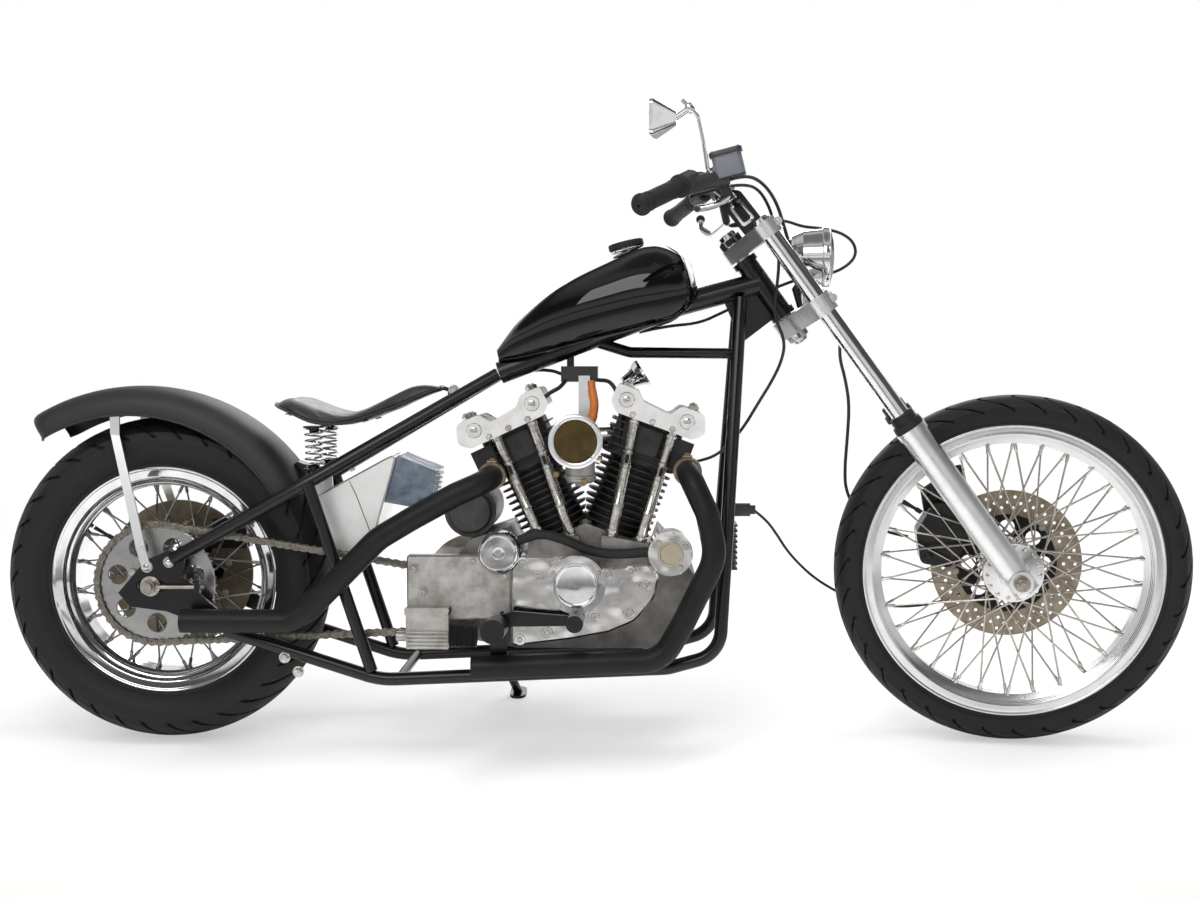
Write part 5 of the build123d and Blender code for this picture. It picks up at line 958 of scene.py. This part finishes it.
# columns: side, from and to along the bar, radius, facets
for side, near, far, radius, facets in ((-1, 139.6, 168, 21, 8), (1, 140, 166, 20.4, 10)):
    start, end = on_bar(side, near), on_bar(side, far)
    wide = far - near
    controls.lathe(start, end - start, [(11.2, 0), (radius - 1.6, 0), (radius, 1.6), (radius, wide - 1.6),
                                        (radius - 1.6, wide), (11.2, wide)], "black_plastic", facets)
    for share in (0.3, 0.7):
        controls.bolt(start.lerp(end, share) - STEM_AHEAD * (radius - 1.4), -STEM_AHEAD, 2.8, 1.2)
LID_TILT = math.radians(14)
LID_ACROSS = Vector((math.cos(LID_TILT), 0, math.sin(LID_TILT)))
LID_UP = Vector((-math.sin(LID_TILT), 0, math.cos(LID_TILT)))
RESERVOIR = steer(80, -207, 150)
# columns: half length and width, corner, height of its foot, thickness, finish, bevel
for half_a, half_b, corner, foot, depth, lid_finish, bevel in (
        (27, 29, 9, -22, 41, "grey_plastic", 2), (30, 32, 10, 17.6, 8, "dark_lid", 2.4),
        (22, 24, 7, 25.4, 1.2, "dark_lid", 0.6)):
    controls.plate(pad(-half_a, -half_b, half_a, half_b, corner), RESERVOIR + LID_UP * foot, LID_ACROSS, LEFT,
                   depth, lid_finish, bevel)
for a in (-23, 23):
    for b in (-25, 25):
        controls.bolt(RESERVOIR + LID_UP * 25.4 + LID_ACROSS * a + LEFT * b, LID_UP, 3.2, 1.6)
controls.lathe(RESERVOIR - LID_ACROSS * 27.5 - LID_UP * 4, -LID_ACROSS,
               [(8, 0), (8, 1.2), (6.4, 1.6), (0, 0.8)], "glass_dark", 24)
controls.lathe(steer(48.5, -199, 95), STEM_UP, [(9, 0), (9, 2), (5, 2.6), (0, 2.6)], "worn_chrome", 24)
controls.bolt(steer(52, -200, 128), STEM_UP, 6, 4)
# flat-sided levers over their plain cores: a route, a radius for each place on it, and the finish
for lever, radii, lever_finish in (
        ([(47, -198, 104), (34, -222, 103.6), (20, -245, 104), (6, -285, 107), (-8, -332, 112)],
         [7.4] * 8 + [6.2] * 17, "polished_aluminium"),
        ([(14, 166, 83), (-6, 202, 82), (-25, 235, 84), (-34, 270, 96), (-36.5, 297, 110), (-30, 327, 128)],
         [6.4] * 12 + [5.6] * 19, "chrome")):
    controls.tube(swept([steer(*spot) for spot in lever]), radii, lever_finish, 16)
controls.make("hand_levers", "steering", "polished_aluminium", STEERED)
BALL_RADIUS = 9.6
ball = Shape()
ball.lathe(steer(-29, 329, 129), UP,
           [(BALL_RADIUS * math.sin(math.pi * i / 14), -BALL_RADIUS * math.cos(math.pi * i / 14))
            for i in range(15)], "rubber", 24)
ball.make("lever_ball", "steering", "black_plastic", STEERED)

# headlight: bucket, rim, reflector, bulb shield and lens
LAMP = Vector((1196, 0, 941))
lamp = Shape()
lamp.lathe(LAMP, AHEAD, [(0, -0.4), (9, 0), (14, 0.8), (20, 4), (28, 9), (36, 16.5), (43, 26), (48, 38),
                         (51, 52), (52.6, 68), (53.4, 80)], "chrome", 72)
lamp.lathe(LAMP, AHEAD, [(53, 78), (56, 78.6), (57.4, 81), (57.4, 90), (56, 92.6), (53, 93.4), (50.6, 92.6),
                         (50, 90), (50, 79), (53, 78)], "chrome", 72)
lamp.lathe(LAMP, AHEAD, [(6, 36), (20, 40), (34, 52), (44, 68), (49.8, 88)], "mirror_glass", 64)
lamp.lathe(LAMP + AHEAD * 40, AHEAD, [(9, 0), (9, 14), (7, 20), (0, 23)], "chrome", 24)
lamp.make("headlight_bucket", "steering", "chrome", STEERED)
lens = Shape()
lens.lathe(LAMP, AHEAD, [(50.2, 88.4), (46, 93), (38, 96.6), (26, 99.8), (12, 101.4), (0, 101.8)],
           "clear_glass", 64)
lens.make("headlight_lens", "steering", "chrome", STEERED)
bracket = Shape()
bracket.tube([LAMP + Vector((44, 0, -41)), LAMP + Vector((30, 0, -62)), steer(35, 0, -147)], 8.6,
             "satin_black", 16)
bracket.nut(LAMP + Vector((44, 0, -52)), -UP, 11, 9)
bracket.make("headlight_bracket", "steering", "chrome", STEERED)

# mirror: its glass, and its ball joint and nut
mirror = Shape()
mirror.plate(pad(-50, -28, 50, 28, 7, 5), steer(17, -249, 291) + AHEAD * 0.2, LEFT, UP, -0.7,
             "mirror_glass", 0.2)
mirror.lathe(steer(82, -243, 266), STEM_UP, [(6.4, -8), (7.6, -6), (7.6, 6), (6.4, 8), (0, 8.4)],
             "chrome", 24)
mirror.nut(steer(46, -222, 146), (steer(46, -229, 160) - steer(46, -222, 146)), 9.6, 10)
mirror.make("mirror_glass_plate", "steering", "chrome", STEERED)

# ------------------------------------------------------------------ tank
TANK_FOOT = Vector((650, 0, 737))
BACKBONE_KNEE = steer(-151.5, 0, 3.5)
BACKBONE_FOOT = Vector((652, 0, 718))
TANK_DROOP = math.radians(7.3)   # between the tank's base and the backbone
TANK_SLOPE = math.atan2(BACKBONE_KNEE.z - BACKBONE_FOOT.z, BACKBONE_KNEE.x - BACKBONE_FOOT.x) - TANK_DROOP
TANK_ALONG = Vector((math.cos(TANK_SLOPE), 0, math.sin(TANK_SLOPE)))
TANK_UP = Vector((-math.sin(TANK_SLOPE), 0, math.cos(TANK_SLOPE)))
# columns: distance along the tank's base, height of its lower edge, height of its top, half width
TANK_STATIONS = [(3, 4, 26, 14), (60, 0, 72, 52), (150, 0, 119, 90), (250, 0, 144, 112), (335, 0, 156, 114),
                 (388, 22, 130, 96), (406, 52, 98, 50)]
# the section's side from the seam to the crown: share of the half width, share of the height
TANK_SIDE = [(0.80, 0.0), (0.92, 0.08), (0.985, 0.22), (1.0, 0.38), (0.975, 0.55), (0.90, 0.71),
             (0.75, 0.845), (0.54, 0.935), (0.28, 0.985), (0.0, 1.0)]
SEAM_SHARE = TANK_SIDE[0][0]
TUNNEL = 22.6
SPINE_DROP = 19                  # the backbone's centre under the tank's base, at its foot


def tunnel_arch(low, tall, half, spine):
    """The tunnel over the backbone: half its width at the tank's lower edge, and its left half's outline."""
    reach = low - spine
    if reach >= TUNNEL:
        return 0.3, [(0.3 * (1 - step / 8), low) for step in range(9)]
    wall, first = TUNNEL, 0.0
    if reach > 0:
        wall, first = math.sqrt(TUNNEL ** 2 - reach ** 2), math.asin(reach / TUNNEL)
    wall = min(wall, 0.7 * half)
    arch = []
    for step in range(9):
        angle = first + (math.pi / 2 - first) * step / 8
        height = min(spine + TUNNEL * math.sin(angle), low + 0.9 * tall)
        arch.append((min(wall, TUNNEL * math.cos(angle)), max(low, height)))
    return wall, arch


side_line = [(p.x, p.z) for p in swept([(a, 0, b) for a, b in TANK_SIDE], 3)]
rings = []
seams = {side: [] for side in SIDES}
tank_sections = [3, 6, 10, 16, 24, 34, 46, *range(60, 340, 14), 346, 356, 365, 373, 380, 386, 391, 396, 400,
                 403, 406]
for along in tank_sections:
    low, high, half = (between(TANK_STATIONS, along, column) for column in (1, 2, 3))
    if 60 < along <= 335:
        low = 0.0
    tall = high - low
    wall, arch = tunnel_arch(low, tall, half, along * math.tan(TANK_DROOP) - SPINE_DROP)
    right_half = [(half * a, low + tall * b) for a, b in side_line]
    middle = 0.5 * (SEAM_SHARE * half + wall)
    ring = [(-a, b) for a, b in right_half] + right_half[::-1][1:] + [(middle, low), (wall, low)] + arch
    ring += [(-a, b) for a, b in arch[::-1][1:]] + [(-wall, low), (-middle, low)]
    origin = TANK_FOOT + TANK_ALONG * along
    rings.append([origin + LEFT * a + TANK_UP * b for a, b in ring])
    for side in SIDES:
        seams[side].append(origin + LEFT * side * (SEAM_SHARE * half + 1.2) + TANK_UP * (low + 0.4))
tank = Shape()
tank.rings(rings, "gloss_black")
for side in SIDES:
    tank.tube(seams[side], 2.2, "gloss_black", 8)
tank.make("tank_shell", "frame", "gloss_black", sharp=50, replaces=["fuel_tank"])

CAP = TANK_FOOT + TANK_ALONG * 294 + TANK_UP * 146
cap = Shape()
cap.lathe(CAP, TANK_UP, [(31, 6), (32, 8), (32, 10), (29, 11.5), (29, 13)], "chrome", 48)
KNURL_DEPTH = 1.1
knurled = []
for height, radius in ((12, 33.5), (13, 34.4), (22, 34.4), (24, 32.6), (24.6, 29)):
    knurled.append([CAP + TANK_UP * height + (TANK_ALONG * a + LEFT * b)
                    * (radius - (KNURL_DEPTH if i % 4 < 2 and height < 24 else 0))
                    for i, (a, b) in enumerate(circle(1, 96))])
cap.rings(knurled, "rubber")
cap.lathe(CAP + TANK_UP * 24.2, TANK_UP, [(24, 0), (23, 0.6), (8, 1.4), (0, 1.6)], "rubber", 40)
cap.make("cap_knurl", "frame", "rubber", replaces=["fuel_cap"])

details = Shape()
# columns: x, y, z and radius of the frame's domed bolts and nuts, on their right faces
for x, y, z, radius in ((-6, -127, 353, 8), (36, -127, 362, 7.5)):
    details.washer((x, y, z), RIGHT, radius * 1.4, 1.6)
    details.bolt((x, y - 1.4, z), RIGHT, radius, radius * 0.7, socket=False)
for x, y, z, radius in ((281, -132, 155, 8), (118, -128, 240, 7), (567, -36, 685, 8), (255, -131, 182, 8),
                        (661, -139, 160, 8), (661, -139, 236, 8)):
    details.washer((x, y, z), RIGHT, radius * 1.35, 1.6)
    details.nut((x, y - 1.4, z), RIGHT, radius, radius * 0.8)
for side in SIDES:
    details.lathe(REAR_AXLE + LEFT * side * 127, LEFT * side, [(19, 0), (19, 2.4), (10, 2.6)],
                  "worn_chrome", 32)
details.make("frame_bolts", "frame", "steel")

# ------------------------------------------------------------------ seat: leather on a thin pad, with piping
# columns: x, and the height of the top or the bottom, or the half width
SEAT_TOP = [(222, 660), (244, 667.5), (268, 668), (294, 659), (321, 648), (342, 642), (361, 640), (381, 643),
            (402, 650), (431, 665), (460, 680), (481, 689.5), (500, 695), (522, 695.5), (541, 691.5)]
SEAT_BOTTOM = [(222, 655), (260, 643), (300, 626), (325, 620.5), (350, 619), (374, 622), (398, 629),
               (427, 640), (456, 650.5), (477, 660.5), (498, 670), (520, 679), (541, 686)]
SEAT_PLAN = [(221, 34), (226, 58), (240, 88), (262, 108), (286, 117), (310, 119.5), (336, 118), (360, 112),
             (382, 101), (402, 88), (424, 70), (446, 53), (472, 39), (500, 31), (524, 26), (541, 22)]
SEAT_ENDS = (221.6, 540.8)
SEAT_STEPS = 70
ACROSS = 22
across_shares = [-1 + 2 * i / ACROSS for i in range(ACROSS + 1)]
seat_rings = []
edges = {side: [] for side in SIDES}
for step in range(SEAT_STEPS + 1):
    x = SEAT_ENDS[0] + (SEAT_ENDS[1] - SEAT_ENDS[0]) * step / SEAT_STEPS
    half = between(SEAT_PLAN, x)
    top, low = between(SEAT_TOP, x), between(SEAT_BOTTOM, x)
    # the top comes down over the last 14 mm at the tail and 8 mm at the nose
    end_pull = min(1.0, (x - 221) / 14, (541.4 - x) / 8)
    end_pull = math.sqrt(max(0.02, 1 - (1 - end_pull) ** 2))
    edge_z = low + 2.5
    ring = []
    for u in across_shares:
        roll = math.sqrt(max(0.0, 1 - abs(u) ** 3.2))
        dish = 3.0 * math.cos(u * math.pi) * (1 if half > 60 else half / 60)
        ring.append(Vector((x, u * half, edge_z + roll * ((top - edge_z - 3) * end_pull + 3 - dish * 0.4))))
    for u in reversed(across_shares):
        ring.append(Vector((x, u * (half - 0.5), low + 0.6 * abs(u) ** 6)))
    seat_rings.append(ring)
    for side in SIDES:
        edges[side].append(Vector((x, side * (half - 0.6), edge_z + 0.8)))
seat = Shape()
seat.rings(seat_rings, "leather")
skin = seat.make("seat_leather", "frame", "leather", sharp=60, replaces=["seat"])


PUFF_FRAMES = 12


def puff(made, voxel, pressure, cap):
    """Blow a closed pad up a little by a cloth simulation, no point further than cap, and keep the result."""
    leather = made.data.materials[0]
    remesh = made.modifiers.new("remesh", "REMESH")
    remesh.mode = "VOXEL"
    remesh.voxel_size = voxel
    fine = bpy.data.meshes.new_from_object(made.evaluated_get(bpy.context.evaluated_depsgraph_get()))
    made.modifiers.clear()
    start = [vertex.co.copy() for vertex in fine.vertices]
    made.data = fine
    cloth = made.modifiers.new("cloth", "CLOTH")
    cloth.settings.quality = 5
    cloth.settings.use_pressure = True
    cloth.settings.uniform_pressure_force = pressure
    cloth.settings.effector_weights.gravity = 0
    scene = bpy.context.scene
    for step in range(PUFF_FRAMES):
        scene.frame_set(step + 1)
    blown = made.evaluated_get(bpy.context.evaluated_depsgraph_get())
    ends = [vertex.co.copy() for vertex in blown.to_mesh().vertices]
    blown.to_mesh_clear()
    made.modifiers.clear()
    scene.frame_set(1)
    for vertex, before, after in zip(fine.vertices, start, ends):
        moved = after - before
        vertex.co = before + moved * min(1.0, cap / max(moved.length, 1e-9))
    fine.materials.clear()
    fine.materials.append(leather)
    for face in fine.polygons:
        face.use_smooth = True
        face.material_index = 0
    fine.update()


puff(skin, 0.0045, 4.0, 0.002)

welt = Shape()
loop = edges[-1] + edges[1][::-1]
welt.tube(loop + [loop[0], loop[1]], 2.6, "leather", 8)
for here, after in zip(loop, loop[1:]):
    run = after - here
    if run.length < 2:
        continue
    stitch = run.normalized() * 1.3
    for share in (0.25, 0.75):
        middle = here.lerp(after, share) + Vector((0, -2.4 if here.y > 0 else 2.4, 4.2))
        welt.tube([middle - stitch, middle + stitch], 0.55, "satin_black", 5)
welt.make("seat_welt", "frame", "leather")
seat_metal = Shape()
for x in (262, 330, 398):
    for side in SIDES:
        z = between(SEAT_BOTTOM, x)
        y = side * (between(SEAT_PLAN, x) - 20)
        seat_metal.plate(pad(-9, -6, 9, 6, 2, 3), (x, y, z - 0.2), AHEAD, LEFT, -2.2, "satin_black", 0.4)
        seat_metal.bolt((x, y, z - 2), -UP, 3.6, 2.6)
seat_metal.make("seat_brackets", "frame", "satin_black")

# seat springs: round wire between a black foot and top
SPRING_TURNS = 6.5
TURN_STEPS = 22
coils = Shape()
for side in SIDES:
    foot = Vector((302, side * 70, 536))
    line = []
    for step in range(int(SPRING_TURNS * TURN_STEPS) + 1):
        turn = math.tau * step / TURN_STEPS
        share = step / (SPRING_TURNS * TURN_STEPS)
        waist = 18.5 - 3.2 * math.sin(math.pi * share)
        line.append(foot + Vector((waist * math.cos(turn), waist * math.sin(turn), 76 * share)))
    coils.tube(line, 2.1, "chrome", 10)
    coils.lathe(foot - UP * 9, UP, [(0, 0), (12, 0), (12, 6), (20.5, 7), (20.5, 9), (11, 9.4), (9, 20),
                                    (0, 20.6)], "satin_black", 28)
    coils.lathe(foot + UP * 77.5, UP, [(0, -10), (8.5, -9.6), (10, 0), (20.5, 0.4), (20.5, 3.4), (0, 3.4)],
                "satin_black", 28)
coils.make("spring_coils", "frame", "chrome", replaces=["seat_springs"])

# the weld seam and the small plate on the oil tank's right side
seam = Shape()
seam.tube([(370, -74.2, 511), (383, -74.4, 484), (397, -74.4, 446), (411, -74.2, 408)], 0.9, "old_steel", 8)
seam.plate(rounded([(372, 528, 2), (382, 533, 2), (380, 541, 2), (370, 536, 2)], 3), (0, -74, 0), AHEAD, UP,
           0.8, "worn_chrome", 0.3)
seam.make("oil_tank_seam", "frame", "chrome")

# ------------------------------------------------------------------ rear fender
FENDER_CENTRE = Vector((-51, 0, 313))
FENDER_RADIUS = 380
FENDER_HALF = 90
FENDER_WALL = 2.6
# columns: share of the half width across, drop below the crown
FENDER_SECTION = [(0, 0), (0.2, 0.4), (0.4, 1.8), (0.58, 4.4), (0.72, 8), (0.83, 13), (0.91, 19), (0.965, 27),
                  (0.99, 36), (1.0, 45), (1.0, 54)]


def fender_ring(angle, reach):
    """One section of the fender at an angle; reach narrows it towards a rounded tail."""
    out = Vector((math.cos(angle), 0, math.sin(angle)))
    top = FENDER_CENTRE + out * FENDER_RADIUS
    wide = FENDER_HALF * reach
    half = [(across * wide, drop) for across, drop in FENDER_SECTION]
    upper = [(-a, b) for a, b in reversed(half)] + half[1:]
    lower = [(a * (1 - FENDER_WALL / wide), b + (FENDER_WALL if abs(a) < 0.99 * wide else 0))
             for a, b in reversed(upper)]
    return [top + LEFT * a - out * b for a, b in upper + lower]


fender_rings = []
for step in range(73):
    share = step / 72
    reach = 1.0 if share < 0.955 else math.sqrt(max(0.03, 1 - ((share - 0.955) / 0.047) ** 2)) * 0.35 + 0.65
    fender_rings.append(fender_ring(math.radians(32 + 90 * share), reach))
fender = Shape()
fender.rings(fender_rings, "fender_black")
for corner in (0, 2 * len(FENDER_SECTION) - 2):
    fender.tube([ring[corner] for ring in fender_rings], 2.8, "fender_black", 8)
fender.make("fender_shell", "frame", "satin_black", sharp=50, replaces=["rear_fender"])

# ------------------------------------------------------------------ cables
def parked_steer(ahead, left, up):
    """A place given along the steering stem, with the bars turned as they are parked."""
    cosine, sine = math.cos(PARKED_STEER), math.sin(PARKED_STEER)
    return steer(ahead * cosine + left * sine, left * cosine - ahead * sine, up)


# the routes of part.py: columns ahead, left and up the steering stem, then x, y, z in the frame
BRAKE_LINE = [(66, -190, 128), (96, -150, 120), (113, -104, 92), (113, -84, 50), (98, -76, 4), (82, -71, -42),
              (80, -69, -96), (87, -66, -142), (86, -58, -186), (66, -30, -226), (40, 12, -262),
              (26, 44, -304), (3, 60, -353), (-39, 61, -406), (-76, 61, -450), (-104, 62, -492),
              (-110, 65, -548), (-92, 70, -604), (-56, 72, -640)]
ENGINE_CABLE = [(-6, -227, 142), (36, -190, 130), (78, -140, 112), (100, -90, 92), (98, -58, 50),
                (80, -48, 4), (56, -46, -40), (22, -48, -80), (-14, -50, -118), (-24, -48, -172),
                (-52, -42, -200), (-92, -34, -222)]
ENGINE_CABLE_FRAME = [(1157, -30, 668), (1121, -26, 606), (1078, -22, 560), (1034, -20, 546)]
CLUTCH_CABLE = [(14, 160, 75), (48, 152, 58), (86, 143, 38), (114, 124, 12), (130, 104, -14), (157, 90, -38),
                (184, 87, -68), (194, 86, -100), (180, 84, -126), (140, 79, -129), (100, 72, -112),
                (60, 64, -92), (16, 56, -80), (-28, 56, -72)]
CLUTCH_CABLE_FRAME = [(1090, 58, 838), (1042, 44, 815)]
WHEEL_CABLE = [(1146, -5, 452), (1170, 2, 434), (1194, 14, 402), (1218, 30, 364), (1262, 54, 318),
               (1307, 76, 286), (1356, 82, 262), (1410, 84, 250), (1468, 86, 247), (1527, 86, 256),
               (1578, 84, 276)]


def cable(name, route, radius, place, cad_node, bend=None):
    """A smooth cable by its control points, riding on the steering; where bend is given it is a mesh that
    stays in the frame, and bend's places are not used.
    """
    line = bpy.data.curves.new(name, "CURVE")
    line.dimensions = "3D"
    line.bevel_depth = radius * MM
    line.bevel_resolution = 3
    line.resolution_u = 6
    spline = line.splines.new("NURBS")
    spline.points.add(len(route) - 1)
    for point, spot in zip(spline.points, route):
        point.co = (*(place @ Vector(spot)), 1)
    spline.order_u = 3
    spline.use_endpoint_u = True
    line.materials.append(material["cable_black"])
    made = bpy.data.objects.new(name, line)
    if bend:
        tube = bpy.data.meshes.new_from_object(made)
        bpy.data.objects.remove(made)
        made = bpy.data.objects.new(name, tube)
    bpy.context.collection.objects.link(made)
    if bend:
        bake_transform(made)
    else:
        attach(made, "steering")
    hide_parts(cad_node)


head_face = on_bore(FRONT_TILT, 75.3, -20, 291.5)
under_tank = [TANK_FOOT + TANK_ALONG * along - TANK_UP * 5 + LEFT * 30 for along in (330, 280)]
engine_route = [parked_steer(*spot) for spot in ENGINE_CABLE] + ENGINE_CABLE_FRAME + [head_face]
clutch_route = [parked_steer(*spot) for spot in CLUTCH_CABLE] + CLUTCH_CABLE_FRAME + under_tank
wheel_route = WHEEL_CABLE + [parked_steer(TREE_OFFSET - 22.6, 86, -FORK_LENGTH)]
# a place low behind the steering stem, on the frame, and one ahead of it, passed to the bars' cables as bend
stem_forward = (STEM_UP + STEM_AHEAD).normalized()
bar_bend = (NECK_TOP - stem_forward * 90, NECK_TOP + stem_forward * 60)
cable("brake_line", [steer(*spot) for spot in BRAKE_LINE], 3.2, STEERED, "front_brake_line")
cable("engine_cable", engine_route, 3.0, UPRIGHT, "bar_cables", bar_bend)
cable("clutch_cable", clutch_route, 3.0, UPRIGHT, "bar_cables", bar_bend)
cable("wheel_cable_line", wheel_route, 2.8, UPRIGHT, "wheel_cable",
      (Vector((1185, 10, 420)), Vector((1400, 84, 250))))

# the clutch cable's adjuster boot
first, second, third = (parked_steer(*spot) for spot in CLUTCH_CABLE[:3])
boot = Shape()
boot.tube([first.lerp(second, share) for share in (0.1, 0.6)]
          + [second.lerp(third, share) for share in (0.1, 0.5, 0.9)], [4.2, 6.2, 6.4, 6.2, 4.4], "rubber", 12)
boot.make("clutch_boot", "steering", "rubber")

# ------------------------------------------------------------------ studio
FLOOR_HALF = 30.0
floor_mesh = bpy.data.meshes.new("floor")
floor_mesh.from_pydata([(a * FLOOR_HALF, b * FLOOR_HALF, 0) for a, b in ((-1, -1), (1, -1), (1, 1), (-1, 1))],
                       [], [(0, 1, 2, 3)])
floor = bpy.data.objects.new("floor", floor_mesh)
bpy.context.collection.objects.link(floor)


def for_camera(tree, plain, shown):
    """Show one shader to the camera and the plain one to everything else."""
    ray = node(tree, "ShaderNodeLightPath")
    pick = node(tree, "ShaderNodeMixShader")
    wire(ray, "Is Camera Ray", pick, "Fac")
    wire(plain, 0, pick, 1)
    wire(shown, 0, pick, 2)
    output = tree.nodes["World Output" if "World Output" in tree.nodes else "Material Output"]
    wire(pick, 0, output, "Surface")


def eased(tree, **ends):
    return node(tree, "ShaderNodeMapRange", interpolation_type="SMOOTHSTEP", **ends)


def floor_material():
    """A pale matt floor that fades into the backdrop away from the machine, and is warm in front of it."""
    made = bpy.data.materials.new("pale_floor")
    made.use_nodes = True
    tree = made.node_tree
    shader = tree.nodes["Principled BSDF"]
    shader.inputs["Base Color"].default_value = rgb(0.86)
    shader.inputs["Roughness"].default_value = 0.6
    shader.inputs["Specular IOR Level"].default_value = 0.15
    place = node(tree, "ShaderNodeTexCoord")
    reach = node(tree, "ShaderNodeVectorMath", operation="LENGTH")
    fade = eased(tree, From_Min=0.6, From_Max=3.0, To_Min=0.45, To_Max=1.0)
    apart = node(tree, "ShaderNodeSeparateXYZ")
    front = eased(tree, From_Min=-0.45, From_Max=-0.85)
    close = eased(tree, From_Min=3.2, From_Max=1.8)
    tinted = node(tree, "ShaderNodeMath", operation="MULTIPLY")
    warm = node(tree, "ShaderNodeMix", data_type="RGBA", A=rgb(1.0), B=(0.74, 0.72, 0.66, 1))
    glow = node(tree, "ShaderNodeEmission", Strength=1.0)
    both = node(tree, "ShaderNodeMixShader")
    wire(place, "Object", reach, 0)
    wire(reach, "Value", fade, "Value")
    wire(place, "Object", apart, 0)
    wire(apart, "Y", front, "Value")
    wire(reach, "Value", close, "Value")
    wire(front, "Result", tinted, 0)
    wire(close, "Result", tinted, 1)
    wire(tinted, "Value", warm, "Factor")
    wire(warm, "Result", glow, "Color")
    wire(fade, "Result", both, "Fac")
    wire(shader, 0, both, 1)
    wire(glow, 0, both, 2)
    for_camera(tree, shader, both)
    return made


floor_mesh.materials.append(floor_material())

world = bpy.data.worlds.new("studio")
bpy.context.scene.world = world
world.use_nodes = True
sky = world.node_tree
room = sky.nodes["Background"]
room.inputs["Strength"].default_value = 1.0
# how bright the studio looks by height above the horizon, which is what the polished parts mirror
SKY_HEIGHTS = [(0.0, 0.70), (0.46, 0.80), (0.475, 0.15), (0.50, 0.15), (0.51, 0.85), (0.58, 0.95),
               (0.592, 0.35), (0.602, 0.35), (0.614, 0.95), (0.65, 0.90), (0.70, 0.12), (0.78, 0.08),
               (0.86, 0.45), (0.92, 0.65), (0.96, 0.25), (1.0, 0.2)]
facing = node(sky, "ShaderNodeTexCoord")
parts = node(sky, "ShaderNodeSeparateXYZ")
level = node(sky, "ShaderNodeMapRange", From_Min=-1.0)
ramp = node(sky, "ShaderNodeValToRGB")
stops = ramp.color_ramp.elements
while len(stops) < len(SKY_HEIGHTS):
    stops.new(0.5)
for stop, (height, bright) in zip(stops, SKY_HEIGHTS):
    stop.position = height
for stop, (height, bright) in zip(stops, SKY_HEIGHTS):
    stop.color = (bright, bright, bright * 1.02, 1)
wire(facing, "Generated", parts, 0)
wire(parts, "Z", level, "Value")
wire(level, "Result", ramp, "Fac")
wire(ramp, "Color", room, "Color")
for_camera(sky, room, node(sky, "ShaderNodeBackground", Color=rgb(1.0), Strength=1.0))

# columns: name, place, aimed at, width, height, watts, whether polished parts mirror it
SOFT_BOXES = [
    ("key", (-1.2, -3.2, 3.2), (0, 0, 0.4), 3.0, 1.6, 60, True),
    ("top", (0.2, -0.2, 3.4), (0, 0, 0.4), 4.4, 1.0, 150, False),
    ("back", (0.5, 3.2, 1.8), (0, 0, 0.6), 4.0, 1.6, 60, True),
]
for name, place, aim, width, tall, watts, mirrored in SOFT_BOXES:
    lamp = bpy.data.lights.new(name, "AREA")
    lamp.shape = "RECTANGLE"
    lamp.size = width
    lamp.size_y = tall
    lamp.energy = watts
    holder = bpy.data.objects.new(name, lamp)
    holder.location = place
    holder.rotation_euler = (Vector(aim) - Vector(place)).to_track_quat("-Z", "Y").to_euler()
    holder.visible_glossy = mirrored
    bpy.context.collection.objects.link(holder)

# ------------------------------------------------------------------ camera
CAMERA_PLACE = Vector((925.35, -2825, 743))
CAMERA_YAW = math.radians(1.58)
CAMERA_PITCH = math.radians(3.55)
FOCAL_PIXELS = 1450
FRAME_WIDTH = 1200
SENSOR = 36.0

ahead = Vector((-math.sin(CAMERA_YAW) * math.cos(CAMERA_PITCH), math.cos(CAMERA_YAW) * math.cos(CAMERA_PITCH),
                -math.sin(CAMERA_PITCH)))
right = ahead.cross(UP).normalized()
turn = Matrix((right, right.cross(ahead), -ahead)).transposed().to_4x4()
camera_data = bpy.data.cameras.new("camera")
camera_data.sensor_width = SENSOR
camera_data.lens = FOCAL_PIXELS / FRAME_WIDTH * SENSOR
camera = bpy.data.objects.new("camera", camera_data)
bpy.context.collection.objects.link(camera)
camera.matrix_world = Matrix.Translation(UPRIGHT @ CAMERA_PLACE) @ Matrix.Rotation(-LEAN, 4, "X") @ turn
bpy.context.scene.camera = camera
bpy.context.scene.view_settings.view_transform = "Standard"
